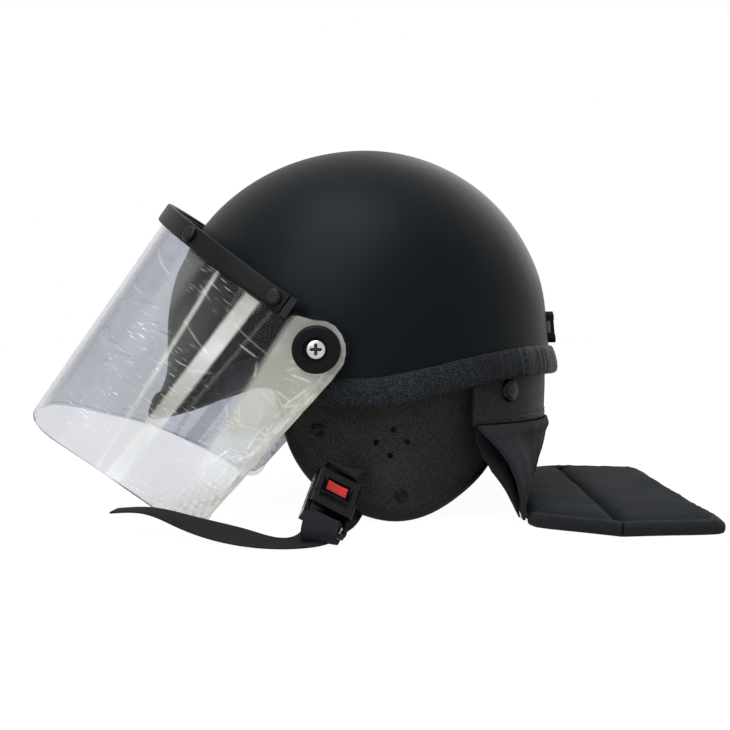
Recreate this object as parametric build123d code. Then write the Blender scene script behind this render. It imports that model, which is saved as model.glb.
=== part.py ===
from build123d import *
import os
from math import asin, cos, hypot, pi, radians, sin, sqrt

# A riot helmet lying on a table. It faces -Y, the wearer's left is +X, the table is z = 0,
# and the origin is on the table under the dome's centre.

os.makedirs("parts", exist_ok=True)

# Shell
shell_front = 137.0
shell_rear = 126.0
shell_half_width = 118.0
shell_centre_height = 118.0
shell_rise = 124.7
shell_skirt_depth = 72.0
shell_wall = 4.0
# Drop below the dome's centre, then front, rear and side reach, each as a share of its own size
skirt_shares = (
    (0.0, 1.0, 1.0, 1.0),
    (0.2, 1.0, 1.015, 1.0),
    (0.4, 1.006, 1.042, 1.001),
    (0.6, 1.048, 1.063, 1.002),
    (0.8, 1.083, 1.077, 1.003),
    (1.0, 1.095, 1.085, 1.004),
)

# Angles up the dome at which its oval plan is drawn
dome_angles = (14.0, 28.0, 42.0, 55.0, 66.0, 75.0, 82.0, 86.5)

# Rim: places along the helmet and up from the table, as shares of the dome's length and its crown height
shell_length = shell_front + shell_rear
crown_height = shell_centre_height + shell_rise
rim_shares = (
    (-0.66, 0.222),
    (-0.50, 0.262),
    (-0.342, 0.316),
    (-0.232, 0.355),
    (-0.135, 0.330),
    (-0.015, 0.3045),
    (0.114, 0.320),
    (0.266, 0.356),
    (0.392, 0.379),
    (0.62, 0.368),
)

# Edge trim
trim_height = 16.0
trim_proud = 2.8
trim_inner_leg = 1.5
trim_web = 2.5

# Lining and comfort pads
liner_thickness = 18.0
liner_drop = 14.0
liner_bottom_height = shell_centre_height - liner_drop
fit_gap = 0.3
pad_thickness = 9.0
crown_pad_radius = 48.0
brow_pad_width = 120.0
brow_pad_above_liner = 6.0
brow_pad_height = 36.0
brow_pad_bottom = liner_bottom_height + brow_pad_above_liner
brow_pad_top = brow_pad_bottom + brow_pad_height
rear_pad_width = 110.0
side_pad_length = 74.0
side_pad_above_liner = 30.0
side_pad_height = 34.0
side_pad_bottom = liner_bottom_height + side_pad_above_liner
side_pad_top = side_pad_bottom + side_pad_height
pad_corner = 8.0

# Visor: its own frame starts at the middle of the top edge, runs down the sheet and back along the side
visor_top_setback = 1.0
visor_top_rise = 77.0
visor_top_forward = shell_front - visor_top_setback
visor_top_height = shell_centre_height + visor_top_rise
visor_tilt_angle = 35.3
visor_side_gap = 4.0
visor_side_flattening = 31.0
visor_front_radius = shell_half_width + visor_side_gap
visor_front_half_angle = 65.0
visor_side_radius = visor_front_radius + visor_side_flattening
visor_sheet_thickness = 2.5
visor_depth = 157.0
visor_lobe_radius = 19.0
lobe_start_angle = 15.0
lobe_middle_angle = 45.0
pivot_back = 142.5
pivot_down = 6.5
visor_hole_clearance = 0.2
# Bottom edge and rear edge: back along the side, then down the sheet, as shares of the visor's depth
visor_bottom_shares = ((0.0, 1.0), (0.13, 0.988), (0.32, 0.943), (0.64, 0.898), (0.83, 0.889))
visor_rear_low_shares = (0.942, 0.775)
visor_corner_shares = (0.93, 0.860)
visor_top_shares = ((0.0, -0.06), (0.715, -0.06), (0.755, -0.026), (0.80, -0.04))

# Visor bar and its seal
bar_height = 13.0
bar_thickness = 4.5
bar_low_edge = 2.5
bar_end_back = 112.5
end_piece_length = 4.5
seal_thickness = 4.5
seal_height = 9.0
bar_screw_angles = (47.5, 78.7)
bar_screw_head_radius = 5.2
bar_screw_head_height = 2.4
bar_screw_head_round = 1.6
bar_screw_radius = 2.0
bar_nut_radius = 4.0
screw_clearance = 0.1

# Pivot stack
pivot_base_radius = 13.0
pivot_collar_radius = 5.8
washer_radius = 12.0
washer_thickness = 0.7
knob_radius = 14.25
knob_height = 8.0
knob_recess_radius = 7.6
knob_recess_depth = 3.0
knob_edge_round = 2.0
pivot_screw_radius = 2.5
pivot_screw_head_radius = 6.0
pivot_screw_head_height = 2.3
pivot_screw_head_round = 1.5
cross_slot_width = 1.3
cross_slot_length = 6.5
cross_slot_depth = 1.5
insert_flange_radius = 10.0
insert_flange_thickness = 1.6
insert_barrel_radius = 4.5

# Cheek flaps: a wall that toes in towards the table, between a top and a bottom plan
flap_side_tuck = 8.0
flap_front_tuck = 5.0
flap_rear_tuck = 5.5
flap_side_toe_in = 15.5
flap_front_toe_in = 20.0
flap_rear_toe_in = 17.5
flap_top_half_width = shell_half_width - flap_side_tuck
flap_top_front = shell_front - flap_front_tuck
flap_top_rear = shell_rear - flap_rear_tuck
flap_bottom_half_width = flap_top_half_width - flap_side_toe_in
flap_bottom_front = flap_top_front - flap_front_toe_in
flap_bottom_rear = flap_top_rear - flap_rear_toe_in
flap_thickness = 3.0
flap_front = 57.0
flap_rear = 88.0
lining_thickness = 8.0
binding_width = 5.0
binding_proud = 0.8
# Outline below the shell: along the flap as a share of its length, up as a share of its height
flap_outline_shares = (
    (0.0, 1.0),
    (0.045, 0.73),
    (0.105, 0.42),
    (0.16, 0.29),
    (0.27, 0.145),
    (0.40, 0.047),
    (0.55, 0.0),
    (0.69, 0.034),
    (0.81, 0.125),
    (0.925, 0.262),
    (0.99, 0.42),
    (1.0, 0.62),
    (1.0, 1.0),
)
vent_radius = 1.7
vent_shares = ((0.539, 0.562), (0.467, 0.486), (0.597, 0.486), (0.526, 0.406))
flap_rivet_radius = 4.25
flap_rivet_shank_radius = 1.6
flap_rivet_proud = 1.6
flap_rivet_shares = ((0.218, 0.556), (0.571, 0.162))
slot_height = 32.0
slot_clearance = 0.6

# Webbing
webbing_width = 20.0
webbing_thickness = 1.3
strap_forward = 2.5
anchor_below_liner = 18.0
anchor_bottom = liner_bottom_height - anchor_below_liner
anchor_height = 12.0
anchor_overhang = 2.5

# Neck band and cloth curtain: arcs through two ends and the centre of the back
band_below_liner = 11.0
band_height = 33.0
band_inside_flap = 18.4
band_side_flare = 2.9
band_rear_lean = 0.8
band_end_setback = 55.5
band_rear_setback = 1.7
band_top_height = liner_bottom_height - band_below_liner
band_bottom_height = band_top_height - band_height
band_top_half_width = flap_top_half_width - band_inside_flap
band_bottom_half_width = band_top_half_width + band_side_flare
band_end_back = shell_rear - band_end_setback
band_top_back = shell_rear - band_rear_setback
band_bottom_back = band_top_back - band_rear_lean
band_thickness = 2.2
snap_radius = 7.5
snap_height = 2.0
snap_above_hem = 21.0
snap_behind_end = 20.5
snap_up = band_bottom_height + snap_above_hem
snap_back = band_end_back + snap_behind_end
cloth_thickness = 3.0
fold_setback = 25.0
fold_inside_shell = 8.0
fold_back = shell_rear - fold_setback
fold_height = 4.0
fold_half_width = shell_half_width - fold_inside_shell
hem_radius = 1.9
# Height as a share of the drop, then end width, end place and centre place as shares of the fold's
curtain_shares = (
    (1.0, 0.869, 0.720, 1.255),
    (0.70, 0.905, 0.885, 1.215),
    (0.42, 0.955, 0.968, 1.160),
    (0.03, 0.998, 0.998, 1.020),
)
lining_shares = (
    (1.0, 0.843, 0.703, 1.222),
    (0.70, 0.845, 0.740, 1.120),
    (0.42, 0.895, 0.800, 1.060),
    (0.12, 0.950, 0.905, 0.955),
)

# Neck guard panels
guard_thickness = 12.0
guard_inner_length = 52.0
guard_outer_length = 62.0
guard_flare = 31.0
guard_taper = 11.0
guard_groove_back = fold_back + guard_inner_length
guard_end_back = guard_groove_back + guard_outer_length
guard_groove_half_width = fold_half_width + guard_flare
guard_end_half_width = guard_groove_half_width - guard_taper
guard_corner = 7.0
guard_front_gap = 0.4
groove_gap = 0.45
# Height as a share of the thickness, then how far the outline is drawn in as a share of it
guard_crown_shares = ((0.0, 0.20), (0.09, 0.0), (0.26, 0.0), (0.55, 0.25), (0.85, 0.75), (1.0, 1.35))

# Goggle-strap clip at the back
clip_width = 22.0
clip_drop = 7.5
clip_height = 21.5
clip_low = shell_centre_height - clip_drop
clip_high = clip_low + clip_height
clip_thickness = 5.0
clip_slot_height = 8.0
clip_rivet_radius = 2.6
clip_rivet_proud = 1.0

# Chin-strap buckle: the top of its tongue and its foot, and how far it rolls about its length
buckle_outside_flap = 35.0
buckle_reach = 30.5
buckle_top_out = flap_bottom_half_width + buckle_outside_flap
buckle_top_forward = 8.7
buckle_top_height = 36.5
buckle_foot_out = buckle_top_out + buckle_reach
buckle_foot_forward = 17.0
buckle_foot_height = 11.0
buckle_width_direction_share = (-0.178, 0.8665, -0.467)
housing_length = 25.0
housing_width = 28.0
housing_thickness = 11.0
housing_round = 3.0
tongue_width = 20.0
tongue_thickness = 3.6
tongue_insert = 16.0
tongue_reach = 9.0
tongue_slot_height = 3.4
tongue_bar_height = 2.6
window_width = 14.0
window_height = 8.5
window_up = 3.5
button_clearance = 0.3
button_height = 2.4
button_sunk = 0.8
adjuster_drop = 6.0
adjuster_bar_radius = 2.0
adjuster_cheek = 3.0
wrap_radius = 3.9

# Strap tail on the table: places as shares of its reach out, forward and up, then its bank
tail_out = buckle_foot_out
tail_forward = 140.0
tail_rise = 14.0
tail_shares = (
    (1.010, 0.125, 0.50, -28.0),
    (1.055, 0.140, 0.34, -20.0),
    (1.100, 0.205, 0.16, -9.0),
    (1.105, 0.320, 0.12, -6.0),
    (1.050, 0.450, 0.22, -12.0),
    (0.965, 0.590, 0.36, -12.0),
    (0.905, 0.725, 0.62, -6.0),
    (0.890, 0.860, 0.95, 0.0),
    (0.890, 1.000, 0.93, 2.0),
)
strap_table_gap = 0.4
strap_cross_forward = 6.0
strap_outside_gap = 2.0
strap_turn_in = 4.0
crossing_inside_flap = 18.9
# Heights of the strap outside the flap, as shares of the slot's height
drop_shares = (0.85, 0.40, 0.13)

overrun = 400.0
cut_margin = 1.0


def solids_of(shape):
    """The separate solids of a shape."""
    return shape.solids()


def save(name, *shapes):
    """Write one node, made of one or several separate solids."""
    pieces = []
    for shape in shapes:
        pieces += solids_of(shape)
    whole = pieces[0] if len(pieces) == 1 else Compound(children=pieces)
    export_step(whole, f"parts/{name}.step")


def save_pair(name, *shapes):
    """Write a left node and its mirror image on the right."""
    save(f"{name}_left", *shapes)
    save(f"{name}_right", *[mirror(shape, about=Plane.YZ) for shape in shapes])


def half_oval_pair(front, rear, half_width, height):
    """A plan outline of two half ellipses that share their width."""
    rear_arc = EllipticalCenterArc((0, 0), half_width, rear, start_angle=0, arc_size=180)
    front_arc = EllipticalCenterArc((0, 0), half_width, front, start_angle=180, arc_size=180)
    return Pos(0, 0, height) * make_face([rear_arc, front_arc])


def dome(grow):
    """The shell's solid form, grown or shrunk by one distance all over, open to the table."""
    sections = []
    for drop, front_share, rear_share, side_share in reversed(skirt_shares):
        sections.append(half_oval_pair(
            shell_front * front_share + grow,
            shell_rear * rear_share + grow,
            shell_half_width * side_share + grow,
            shell_centre_height - shell_skirt_depth * drop,
        ))
    for angle in dome_angles:
        level = sin(radians(angle))
        spread = cos(radians(angle))
        sections.append(half_oval_pair(
            (shell_front + grow) * spread,
            (shell_rear + grow) * spread,
            (shell_half_width + grow) * spread,
            shell_centre_height + (shell_rise + grow) * level,
        ))
    return loft(sections)


def above_rim(raised):
    """Everything above the rim line, seen from the side, when the line is raised."""
    line = [
        (along * shell_length, up * crown_height + raised)
        for along, up in rim_shares
    ]
    roof = crown_height + shell_length
    edges = [
        Spline(*line),
        Line(line[-1], (line[-1][0], roof)),
        Line((line[-1][0], roof), (line[0][0], roof)),
        Line((line[0][0], roof), line[0]),
    ]
    return extrude(Plane.YZ * make_face(edges), amount=overrun, both=True)


def x_cylinder(radius, start, end, back, up):
    """A cylinder along X between two places."""
    place = Plane(origin=(start, back, up), x_dir=(0, 1, 0), z_dir=(1, 0, 0))
    return place * Cylinder(radius, end - start, align=(Align.CENTER, Align.CENTER, Align.MIN))


def block(x_low, x_high, y_low, y_high, z_low, z_high):
    """A box between its lowest and highest corners."""
    centre = Pos((x_low + x_high) / 2, (y_low + y_high) / 2, (z_low + z_high) / 2)
    return centre * Box(x_high - x_low, y_high - y_low, z_high - z_low)


# Visor frame
down_angle = radians(90 - visor_tilt_angle)
down_y = -cos(down_angle)
down_z = -sin(down_angle)
visor_origin = Vector(0, -visor_top_forward, visor_top_height)
visor_down = Vector(0, down_y, down_z)
visor_back = Vector(0, -down_z, down_y)
visor_section_plane = Plane(origin=visor_origin, x_dir=(1, 0, 0), z_dir=-visor_down)
visor_side_plane = Plane(origin=visor_origin, x_dir=visor_back, z_dir=(1, 0, 0))
pivot_place = visor_origin + visor_back * pivot_back + visor_down * pivot_down
pivot_y = pivot_place.Y
pivot_z = pivot_place.Z

blend_angle = radians(visor_front_half_angle)
side_centre_x = -(visor_side_radius - visor_front_radius) * sin(blend_angle)
side_centre_back = visor_front_radius + (visor_side_radius - visor_front_radius) * cos(blend_angle)
visor_half_width = side_centre_x + visor_side_radius
visor_inside = visor_half_width - visor_sheet_thickness / 2
visor_outside = visor_half_width + visor_sheet_thickness / 2
visor_length_back = pivot_back + visor_lobe_radius


def visor_point(angle, out):
    """A point of the visor's section at an angle from the front, a distance outside its middle."""
    if angle <= blend_angle:
        reach = visor_front_radius + out
        return (reach * sin(angle), visor_front_radius - reach * cos(angle))
    reach = visor_side_radius + out
    return (side_centre_x + reach * sin(angle), side_centre_back - reach * cos(angle))


def visor_line(out):
    """The section's line: a front arc, two side arcs and two straight ends."""
    mid_angle = (blend_angle + pi / 2) / 2
    front = visor_point(0, out)
    turn = visor_point(blend_angle, out)
    side = visor_point(mid_angle, out)
    back = visor_point(pi / 2, out)
    end = (back[0], visor_length_back + cut_margin)

    def other(point):
        return (-point[0], point[1])

    return [
        Line(other(end), other(back)),
        ThreePointArc(other(back), other(side), other(turn)),
        ThreePointArc(other(turn), front, turn),
        ThreePointArc(turn, side, back),
        Line(back, end),
    ], other(end), end


def visor_band(inner, outer, top, bottom):
    """The wall between two lines of the section, from a top to a bottom place down the sheet."""
    inner_line, inner_left, inner_right = visor_line(inner)
    outer_line, outer_left, outer_right = visor_line(outer)
    edges = inner_line + outer_line + [Line(inner_left, outer_left), Line(inner_right, outer_right)]
    section = visor_section_plane * make_face(edges)
    return Pos(visor_down * bottom) * extrude(section, amount=bottom - top, dir=-visor_down)


def visor_side_prism(edges):
    """A side outline, drawn back along the sheet and up it, carried right across."""
    return extrude(visor_side_plane * make_face(edges), amount=overrun, both=True)


def visor_strip(start, end):
    """Everything between two places back along the visor."""
    top = visor_depth
    edges = [
        Line((start, -top * 2), (end, -top * 2)),
        Line((end, -top * 2), (end, top)),
        Line((end, top), (start, top)),
        Line((start, top), (start, -top * 2)),
    ]
    return visor_side_prism(edges)


def visor_normal_cylinder(angle_degrees, side, radius, start, end, down):
    """A cylinder square to the visor's wall at an angle from the front."""
    angle = radians(angle_degrees)
    x, back = visor_point(angle, start)
    foot = visor_origin + visor_back * back + visor_down * down + Vector(side * x, 0, 0)
    outward = Vector(side * sin(angle), 0, 0) - visor_back * cos(angle)
    place = Plane(origin=foot, z_dir=outward)
    return place * Cylinder(radius, end - start, align=(Align.CENTER, Align.CENTER, Align.MIN))


def visor_cutter():
    """The sheet's side outline: lobe about the pivot, rear edge, round corner and bottom."""
    bottom = [(back * visor_depth, -down * visor_depth) for back, down in visor_bottom_shares]
    rear_low = (visor_rear_low_shares[0] * visor_depth, -visor_rear_low_shares[1] * visor_depth)
    corner = (visor_corner_shares[0] * visor_depth, -visor_corner_shares[1] * visor_depth)
    top = [(back * visor_depth, -down * visor_depth) for back, down in visor_top_shares]
    lobe_start = (
        pivot_back - visor_lobe_radius * sin(radians(lobe_start_angle)),
        -pivot_down + visor_lobe_radius * cos(radians(lobe_start_angle)),
    )
    lobe_middle = (
        pivot_back + visor_lobe_radius * sin(radians(lobe_middle_angle)),
        -pivot_down + visor_lobe_radius * cos(radians(lobe_middle_angle)),
    )
    lobe_end = (pivot_back + visor_lobe_radius, -pivot_down)
    front = -cut_margin
    edges = [
        Line((front, top[0][1]), top[1]),
        Spline(top[1], top[2], top[3], lobe_start),
        ThreePointArc(lobe_start, lobe_middle, lobe_end),
        Line(lobe_end, rear_low),
        Spline(rear_low, corner, bottom[-1]),
        Spline(*reversed(bottom)),
        Line(bottom[0], (front, bottom[0][1])),
        Line((front, bottom[0][1]), (front, top[0][1])),
    ]
    return visor_side_prism(edges)


# Shell, trim and liner
outer_form = dome(0)
inner_form = dome(-shell_wall)
shell_hole = x_cylinder(
    insert_barrel_radius, -shell_half_width - cut_margin, shell_half_width + cut_margin, pivot_y, pivot_z
)
shell = (outer_form - inner_form) & above_rim(trim_web)
shell -= shell_hole

trim_band = above_rim(0) - above_rim(trim_height)
trim = ((dome(trim_proud) - dome(-shell_wall - trim_inner_leg)) & trim_band) - shell
save("edge_trim", trim)

liner_outer = dome(-shell_wall - fit_gap)
liner_inner = dome(-shell_wall - fit_gap - liner_thickness)
liner_zone = block(
    -shell_length, shell_length, -shell_length, shell_length, liner_bottom_height, crown_height + cut_margin
)
liner = (liner_outer - liner_inner) & liner_zone & above_rim(trim_height + fit_gap)
insert_pocket = x_cylinder(
    insert_flange_radius + fit_gap * 2, -shell_length, shell_length, pivot_y, pivot_z
)
liner -= insert_pocket
save("impact_liner", liner)

pad_outer = dome(-shell_wall - fit_gap * 2 - liner_thickness)
pad_inner = dome(-shell_wall - fit_gap * 2 - liner_thickness - pad_thickness)
pad_wall = pad_outer - pad_inner


def comfort_pad(zone):
    """A pad cut out of the layer inside the liner."""
    return pad_wall & zone


def rounded_block(x_low, x_high, y_low, y_high, z_low, z_high, axis):
    """A box with its four edges along one axis rounded."""
    shape = block(x_low, x_high, y_low, y_high, z_low, z_high)
    return fillet(shape.edges().filter_by(axis), radius=pad_corner)


save("crown_pad", comfort_pad(
    Pos(0, 0, crown_height) * Cylinder(crown_pad_radius, shell_rise)
))
save("brow_pad", comfort_pad(rounded_block(
    -brow_pad_width / 2, brow_pad_width / 2, -shell_length, 0, brow_pad_bottom, brow_pad_top, Axis.Y
)))
save("rear_pad", comfort_pad(rounded_block(
    -rear_pad_width / 2, rear_pad_width / 2, 0, shell_length, brow_pad_bottom, brow_pad_top, Axis.Y
)))
save_pair("side_pad", comfort_pad(rounded_block(
    0, shell_length, -side_pad_length / 2, side_pad_length / 2, side_pad_bottom, side_pad_top, Axis.X
)))

# Pivot stack, built on the left and mirrored
reach_of_shell = shell_half_width * sqrt(1 - (pivot_y / shell_front) ** 2)
inner_washer_end = visor_inside - screw_clearance
inner_washer_start = inner_washer_end - washer_thickness
collar_end = visor_outside + screw_clearance
outer_washer_start = collar_end
outer_washer_end = outer_washer_start + washer_thickness
knob_end = outer_washer_end + knob_height
recess_floor = knob_end - knob_recess_depth
insert_start = reach_of_shell - shell_wall - insert_flange_thickness - fit_gap * 2
screw_bore = pivot_screw_radius + screw_clearance


def at_pivot(radius, start, end):
    return x_cylinder(radius, start, end, pivot_y, pivot_z)


bore = at_pivot(screw_bore, 0, knob_end + cut_margin)
base = at_pivot(pivot_base_radius, shell_half_width / 2, inner_washer_start) - outer_form
base += at_pivot(pivot_collar_radius, inner_washer_start, collar_end)
base -= bore
friction_washer = at_pivot(washer_radius, inner_washer_start, inner_washer_end)
friction_washer -= at_pivot(pivot_collar_radius + screw_clearance, 0, knob_end)
spring_washer = at_pivot(washer_radius, outer_washer_start, outer_washer_end) - bore
knob = at_pivot(knob_radius, outer_washer_end, knob_end)
knob = fillet(knob.edges().group_by(Axis.X)[-1], radius=knob_edge_round)
knob -= at_pivot(knob_recess_radius, recess_floor, knob_end + cut_margin)
knob -= bore
insert = at_pivot(insert_flange_radius, insert_start, shell_half_width) & dome(-shell_wall - screw_clearance)
insert += at_pivot(insert_barrel_radius - screw_clearance, insert_start, shell_half_width) & outer_form
insert -= bore
screw = at_pivot(pivot_screw_radius, insert_start, recess_floor)
head = at_pivot(pivot_screw_head_radius, recess_floor, recess_floor + pivot_screw_head_height)
head = fillet(head.edges().group_by(Axis.X)[-1], radius=pivot_screw_head_round)
slot_top = recess_floor + pivot_screw_head_height
for half_y, half_z in (
    (cross_slot_length / 2, cross_slot_width / 2),
    (cross_slot_width / 2, cross_slot_length / 2),
):
    head -= block(
        slot_top - cross_slot_depth, slot_top + cut_margin,
        pivot_y - half_y, pivot_y + half_y, pivot_z - half_z, pivot_z + half_z,
    )
screw += head
save_pair("pivot_base", base)
save_pair("friction_washer", friction_washer)
save_pair("spring_washer", spring_washer)
save_pair("pivot_knob", knob)
save_pair("pivot_insert", insert)
save_pair("pivot_screw", screw)

# Visor sheet, bar, seal and their screws
above_table = block(-shell_length, shell_length, -shell_length, shell_length, 0, crown_height)
half_sheet = visor_sheet_thickness / 2
bar_top = bar_low_edge - bar_height
bar_middle = (bar_top + bar_low_edge) / 2
sheet = visor_band(-half_sheet, half_sheet, bar_top, visor_depth + cut_margin) & visor_cutter() & above_table
for side in (1, -1):
    sheet -= x_cylinder(
        pivot_collar_radius + visor_hole_clearance,
        side * visor_half_width - visor_sheet_thickness, side * visor_half_width + visor_sheet_thickness,
        pivot_y, pivot_z,
    )
bar = visor_band(half_sheet, half_sheet + bar_thickness, bar_top, bar_low_edge)
bar &= visor_strip(-visor_depth, bar_end_back)
end_pieces = visor_band(half_sheet, half_sheet + bar_thickness, bar_top, bar_low_edge)
end_pieces &= visor_strip(bar_end_back, bar_end_back + end_piece_length)
seal_top = bar_middle - seal_height / 2
seal = visor_band(-half_sheet - seal_thickness, -half_sheet, seal_top, seal_top + seal_height)
seal &= visor_strip(-visor_depth, bar_end_back)
bar_screws = []
bar_nuts = []
bar_outside = half_sheet + bar_thickness
for angle in bar_screw_angles:
    for side in (1, -1):
        shank_bore = visor_normal_cylinder(
            angle, side, bar_screw_radius + screw_clearance, -bar_outside * 2, bar_outside * 2, bar_middle
        )
        bar -= shank_bore
        sheet -= shank_bore
        nut_bore = visor_normal_cylinder(
            angle, side, bar_nut_radius + fit_gap, -half_sheet - seal_thickness * 2, -half_sheet, bar_middle
        )
        seal -= nut_bore
        shank = visor_normal_cylinder(
            angle, side, bar_screw_radius, -half_sheet - seal_thickness, bar_outside, bar_middle
        )
        screw_head = visor_normal_cylinder(
            angle, side, bar_screw_head_radius, bar_outside + screw_clearance,
            bar_outside + screw_clearance + bar_screw_head_height, bar_middle,
        )
        rim_edges = screw_head.edges().filter_by(GeomType.CIRCLE).sort_by(
            lambda edge: abs((edge.arc_center - visor_origin).X) + abs(edge.arc_center.Y)
        )
        screw_head = fillet(rim_edges[-1], radius=bar_screw_head_round)
        neck = visor_normal_cylinder(
            angle, side, bar_screw_radius, bar_outside, bar_outside + screw_clearance * 2, bar_middle
        )
        bar_screws.append(shank + neck + screw_head)
        nut = visor_normal_cylinder(
            angle, side, bar_nut_radius, -half_sheet - seal_thickness, -half_sheet - screw_clearance, bar_middle
        )
        bar_nuts.append(nut - shank)
save("visor_sheet", sheet)
save("visor_bar", bar)
save("bar_end_pieces", end_pieces)
save("visor_seal", seal)
save("bar_screws", *bar_screws)
save("bar_nuts", *bar_nuts)

# Cheek flaps, built on the left
flap_top_height = liner_bottom_height - fit_gap
flap_length = flap_front + flap_rear


def flap_form(grow):
    """The solid inside the flap's wall, grown by a distance."""
    top = half_oval_pair(
        flap_top_front + grow, flap_top_rear + grow, flap_top_half_width + grow, flap_top_height
    )
    bottom = half_oval_pair(
        flap_bottom_front + grow, flap_bottom_rear + grow, flap_bottom_half_width + grow, -cut_margin
    )
    return loft([bottom, top])


def flap_point(along, up):
    return (along * flap_length - flap_front, up * flap_top_height)


def flap_prism(inset, top_inset):
    """The flap's side outline carried out along +X, drawn in by a distance."""
    points = [flap_point(along, up) for along, up in flap_outline_shares]
    moved = []
    for index, point in enumerate(points):
        before = points[max(index - 1, 0)]
        after = points[min(index + 1, len(points) - 1)]
        run = hypot(after[0] - before[0], after[1] - before[1])
        moved.append((
            point[0] - (after[1] - before[1]) / run * inset,
            max(point[1] + (after[0] - before[0]) / run * inset, 0),
        ))
    top = flap_top_height - top_inset
    moved[0] = (moved[0][0], top)
    moved[-1] = (moved[-1][0], top)
    edges = [Spline(*moved), Line(moved[-1], moved[0])]
    return extrude(Plane.YZ * make_face(edges), amount=shell_length)


def flap_wall(inner, outer):
    return flap_form(outer) - flap_form(inner)


flap_area = flap_prism(0, 0) & above_table
inset_area = flap_prism(binding_width, 0)
flap = flap_wall(-flap_thickness, 0) & flap_area
binding = flap_wall(-flap_thickness - binding_proud, binding_proud) & (flap_area - inset_area)
binding -= flap_wall(-flap_thickness - screw_clearance, screw_clearance)
lining_area = flap_prism(binding_width + fit_gap, binding_width)
lining_start = -flap_thickness - fit_gap
flap_lining = flap_wall(lining_start - lining_thickness, lining_start) & lining_area
strap_low = -strap_forward - webbing_width / 2
strap_high = -strap_forward + webbing_width / 2
strap_zone = block(
    0, shell_length, strap_low, strap_high, slot_height, anchor_bottom
)
channel_zone = block(
    0, shell_length, strap_low - anchor_overhang - fit_gap, strap_high + anchor_overhang + fit_gap,
    slot_height - slot_clearance, flap_top_height,
)
channel_depth = webbing_thickness + fit_gap * 2
flap_lining -= binding
flap_lining -= flap_wall(lining_start - channel_depth, lining_start) & channel_zone
strap_run_start = lining_start - fit_gap - webbing_thickness
strap_run = flap_wall(strap_run_start, lining_start - fit_gap) & strap_zone
slot_reach_top = slot_height + webbing_thickness
slot_cut = block(
    0, shell_length, strap_low - slot_clearance, strap_high + slot_clearance,
    slot_height - slot_clearance, slot_reach_top + slot_clearance,
)
flap -= slot_cut
flap_share_at_slot = slot_height / flap_top_height
flap_half_width_at_slot = (
    flap_bottom_half_width + (flap_top_half_width - flap_bottom_half_width) * flap_share_at_slot
)
strap_exit = flap_half_width_at_slot + strap_outside_gap
strap_through = block(0, strap_exit, strap_low, strap_high, slot_height, slot_reach_top)
strap_through -= flap_form(strap_run_start)
strap_stub = strap_run + strap_through
for along, up in vent_shares:
    y, z = flap_point(along, up)
    flap -= x_cylinder(vent_radius, 0, shell_length, y, z)
flap_rivets = []
for along, up in flap_rivet_shares:
    y, z = flap_point(along, up)
    flap -= x_cylinder(flap_rivet_shank_radius, 0, shell_length, y, z)
    rivet = x_cylinder(flap_rivet_radius, 0, shell_length, y, z) & flap_wall(0, flap_rivet_proud)
    rivet += x_cylinder(flap_rivet_shank_radius, 0, shell_length, y, z) & flap_wall(-flap_thickness, 0)
    flap_rivets.append(rivet)
anchor_zone = block(
    0, shell_length, strap_low - anchor_overhang, strap_high + anchor_overhang,
    anchor_bottom, anchor_bottom + anchor_height,
)
anchor = flap_wall(strap_run_start, lining_start - fit_gap) & anchor_zone
save_pair("cheek_flap", flap)
save_pair("flap_binding", binding)
save_pair("flap_lining", flap_lining)
save_pair("flap_rivets", *flap_rivets)
save_pair("strap_anchor", anchor)


# Neck band, snaps, curtain and its lining
def arc_slab(end_x, end_y, centre_y, thickness, height):
    """A thin curved strip in plan, between two arcs about one centre."""
    rise = centre_y - end_y
    radius = (end_x ** 2 + rise ** 2) / (2 * rise)
    middle_y = centre_y - radius
    inner = (radius - thickness) / radius
    inner_x = end_x * inner
    inner_y = middle_y + (end_y - middle_y) * inner
    edges = [
        ThreePointArc((end_x, end_y), (0, centre_y), (-end_x, end_y)),
        Line((-end_x, end_y), (-inner_x, inner_y)),
        ThreePointArc((-inner_x, inner_y), (0, centre_y - thickness), (inner_x, inner_y)),
        Line((inner_x, inner_y), (end_x, end_y)),
    ]
    return Pos(0, 0, height) * make_face(edges)


band = loft([
    arc_slab(band_bottom_half_width, band_end_back, band_bottom_back, band_thickness, band_bottom_height),
    arc_slab(band_top_half_width, band_end_back, band_top_back, band_thickness, band_top_height),
])
save("neck_band", band)

snap_share = (snap_up - band_bottom_height) / (band_top_height - band_bottom_height)
snap_band_half = band_bottom_half_width + (band_top_half_width - band_bottom_half_width) * snap_share
snap_band_back = band_bottom_back + (band_top_back - band_bottom_back) * snap_share
snap_rise = snap_band_back - band_end_back
snap_band_radius = (snap_band_half ** 2 + snap_rise ** 2) / (2 * snap_rise)
snap_centre_y = snap_band_back - snap_band_radius
snap_angle = asin((snap_back - snap_centre_y) / snap_band_radius)
snaps = []
for side in (1, -1):
    direction = Vector(side * cos(snap_angle), sin(snap_angle), 0)
    foot = Vector(0, snap_centre_y, snap_up) + direction * (snap_band_radius - band_thickness / 2)
    place = Plane(origin=foot, z_dir=direction)
    cap = place * Cylinder(
        snap_radius, snap_height + band_thickness, align=(Align.CENTER, Align.CENTER, Align.MIN)
    )
    snaps.append(cap - band)
save("neck_band_snaps", *[max(solids_of(snap), key=lambda s: abs(s.center().X)) for snap in snaps])


def hung_cloth(shares):
    """Cloth between the band and the fold, lofted through arcs at falling heights."""
    drop = band_bottom_height - fold_height
    return loft([
        arc_slab(
            fold_half_width * end_share, fold_back * end_place, fold_back * centre_place,
            cloth_thickness, fold_height + drop * up_share,
        )
        for up_share, end_share, end_place, centre_place in reversed(shares)
    ])


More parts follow.
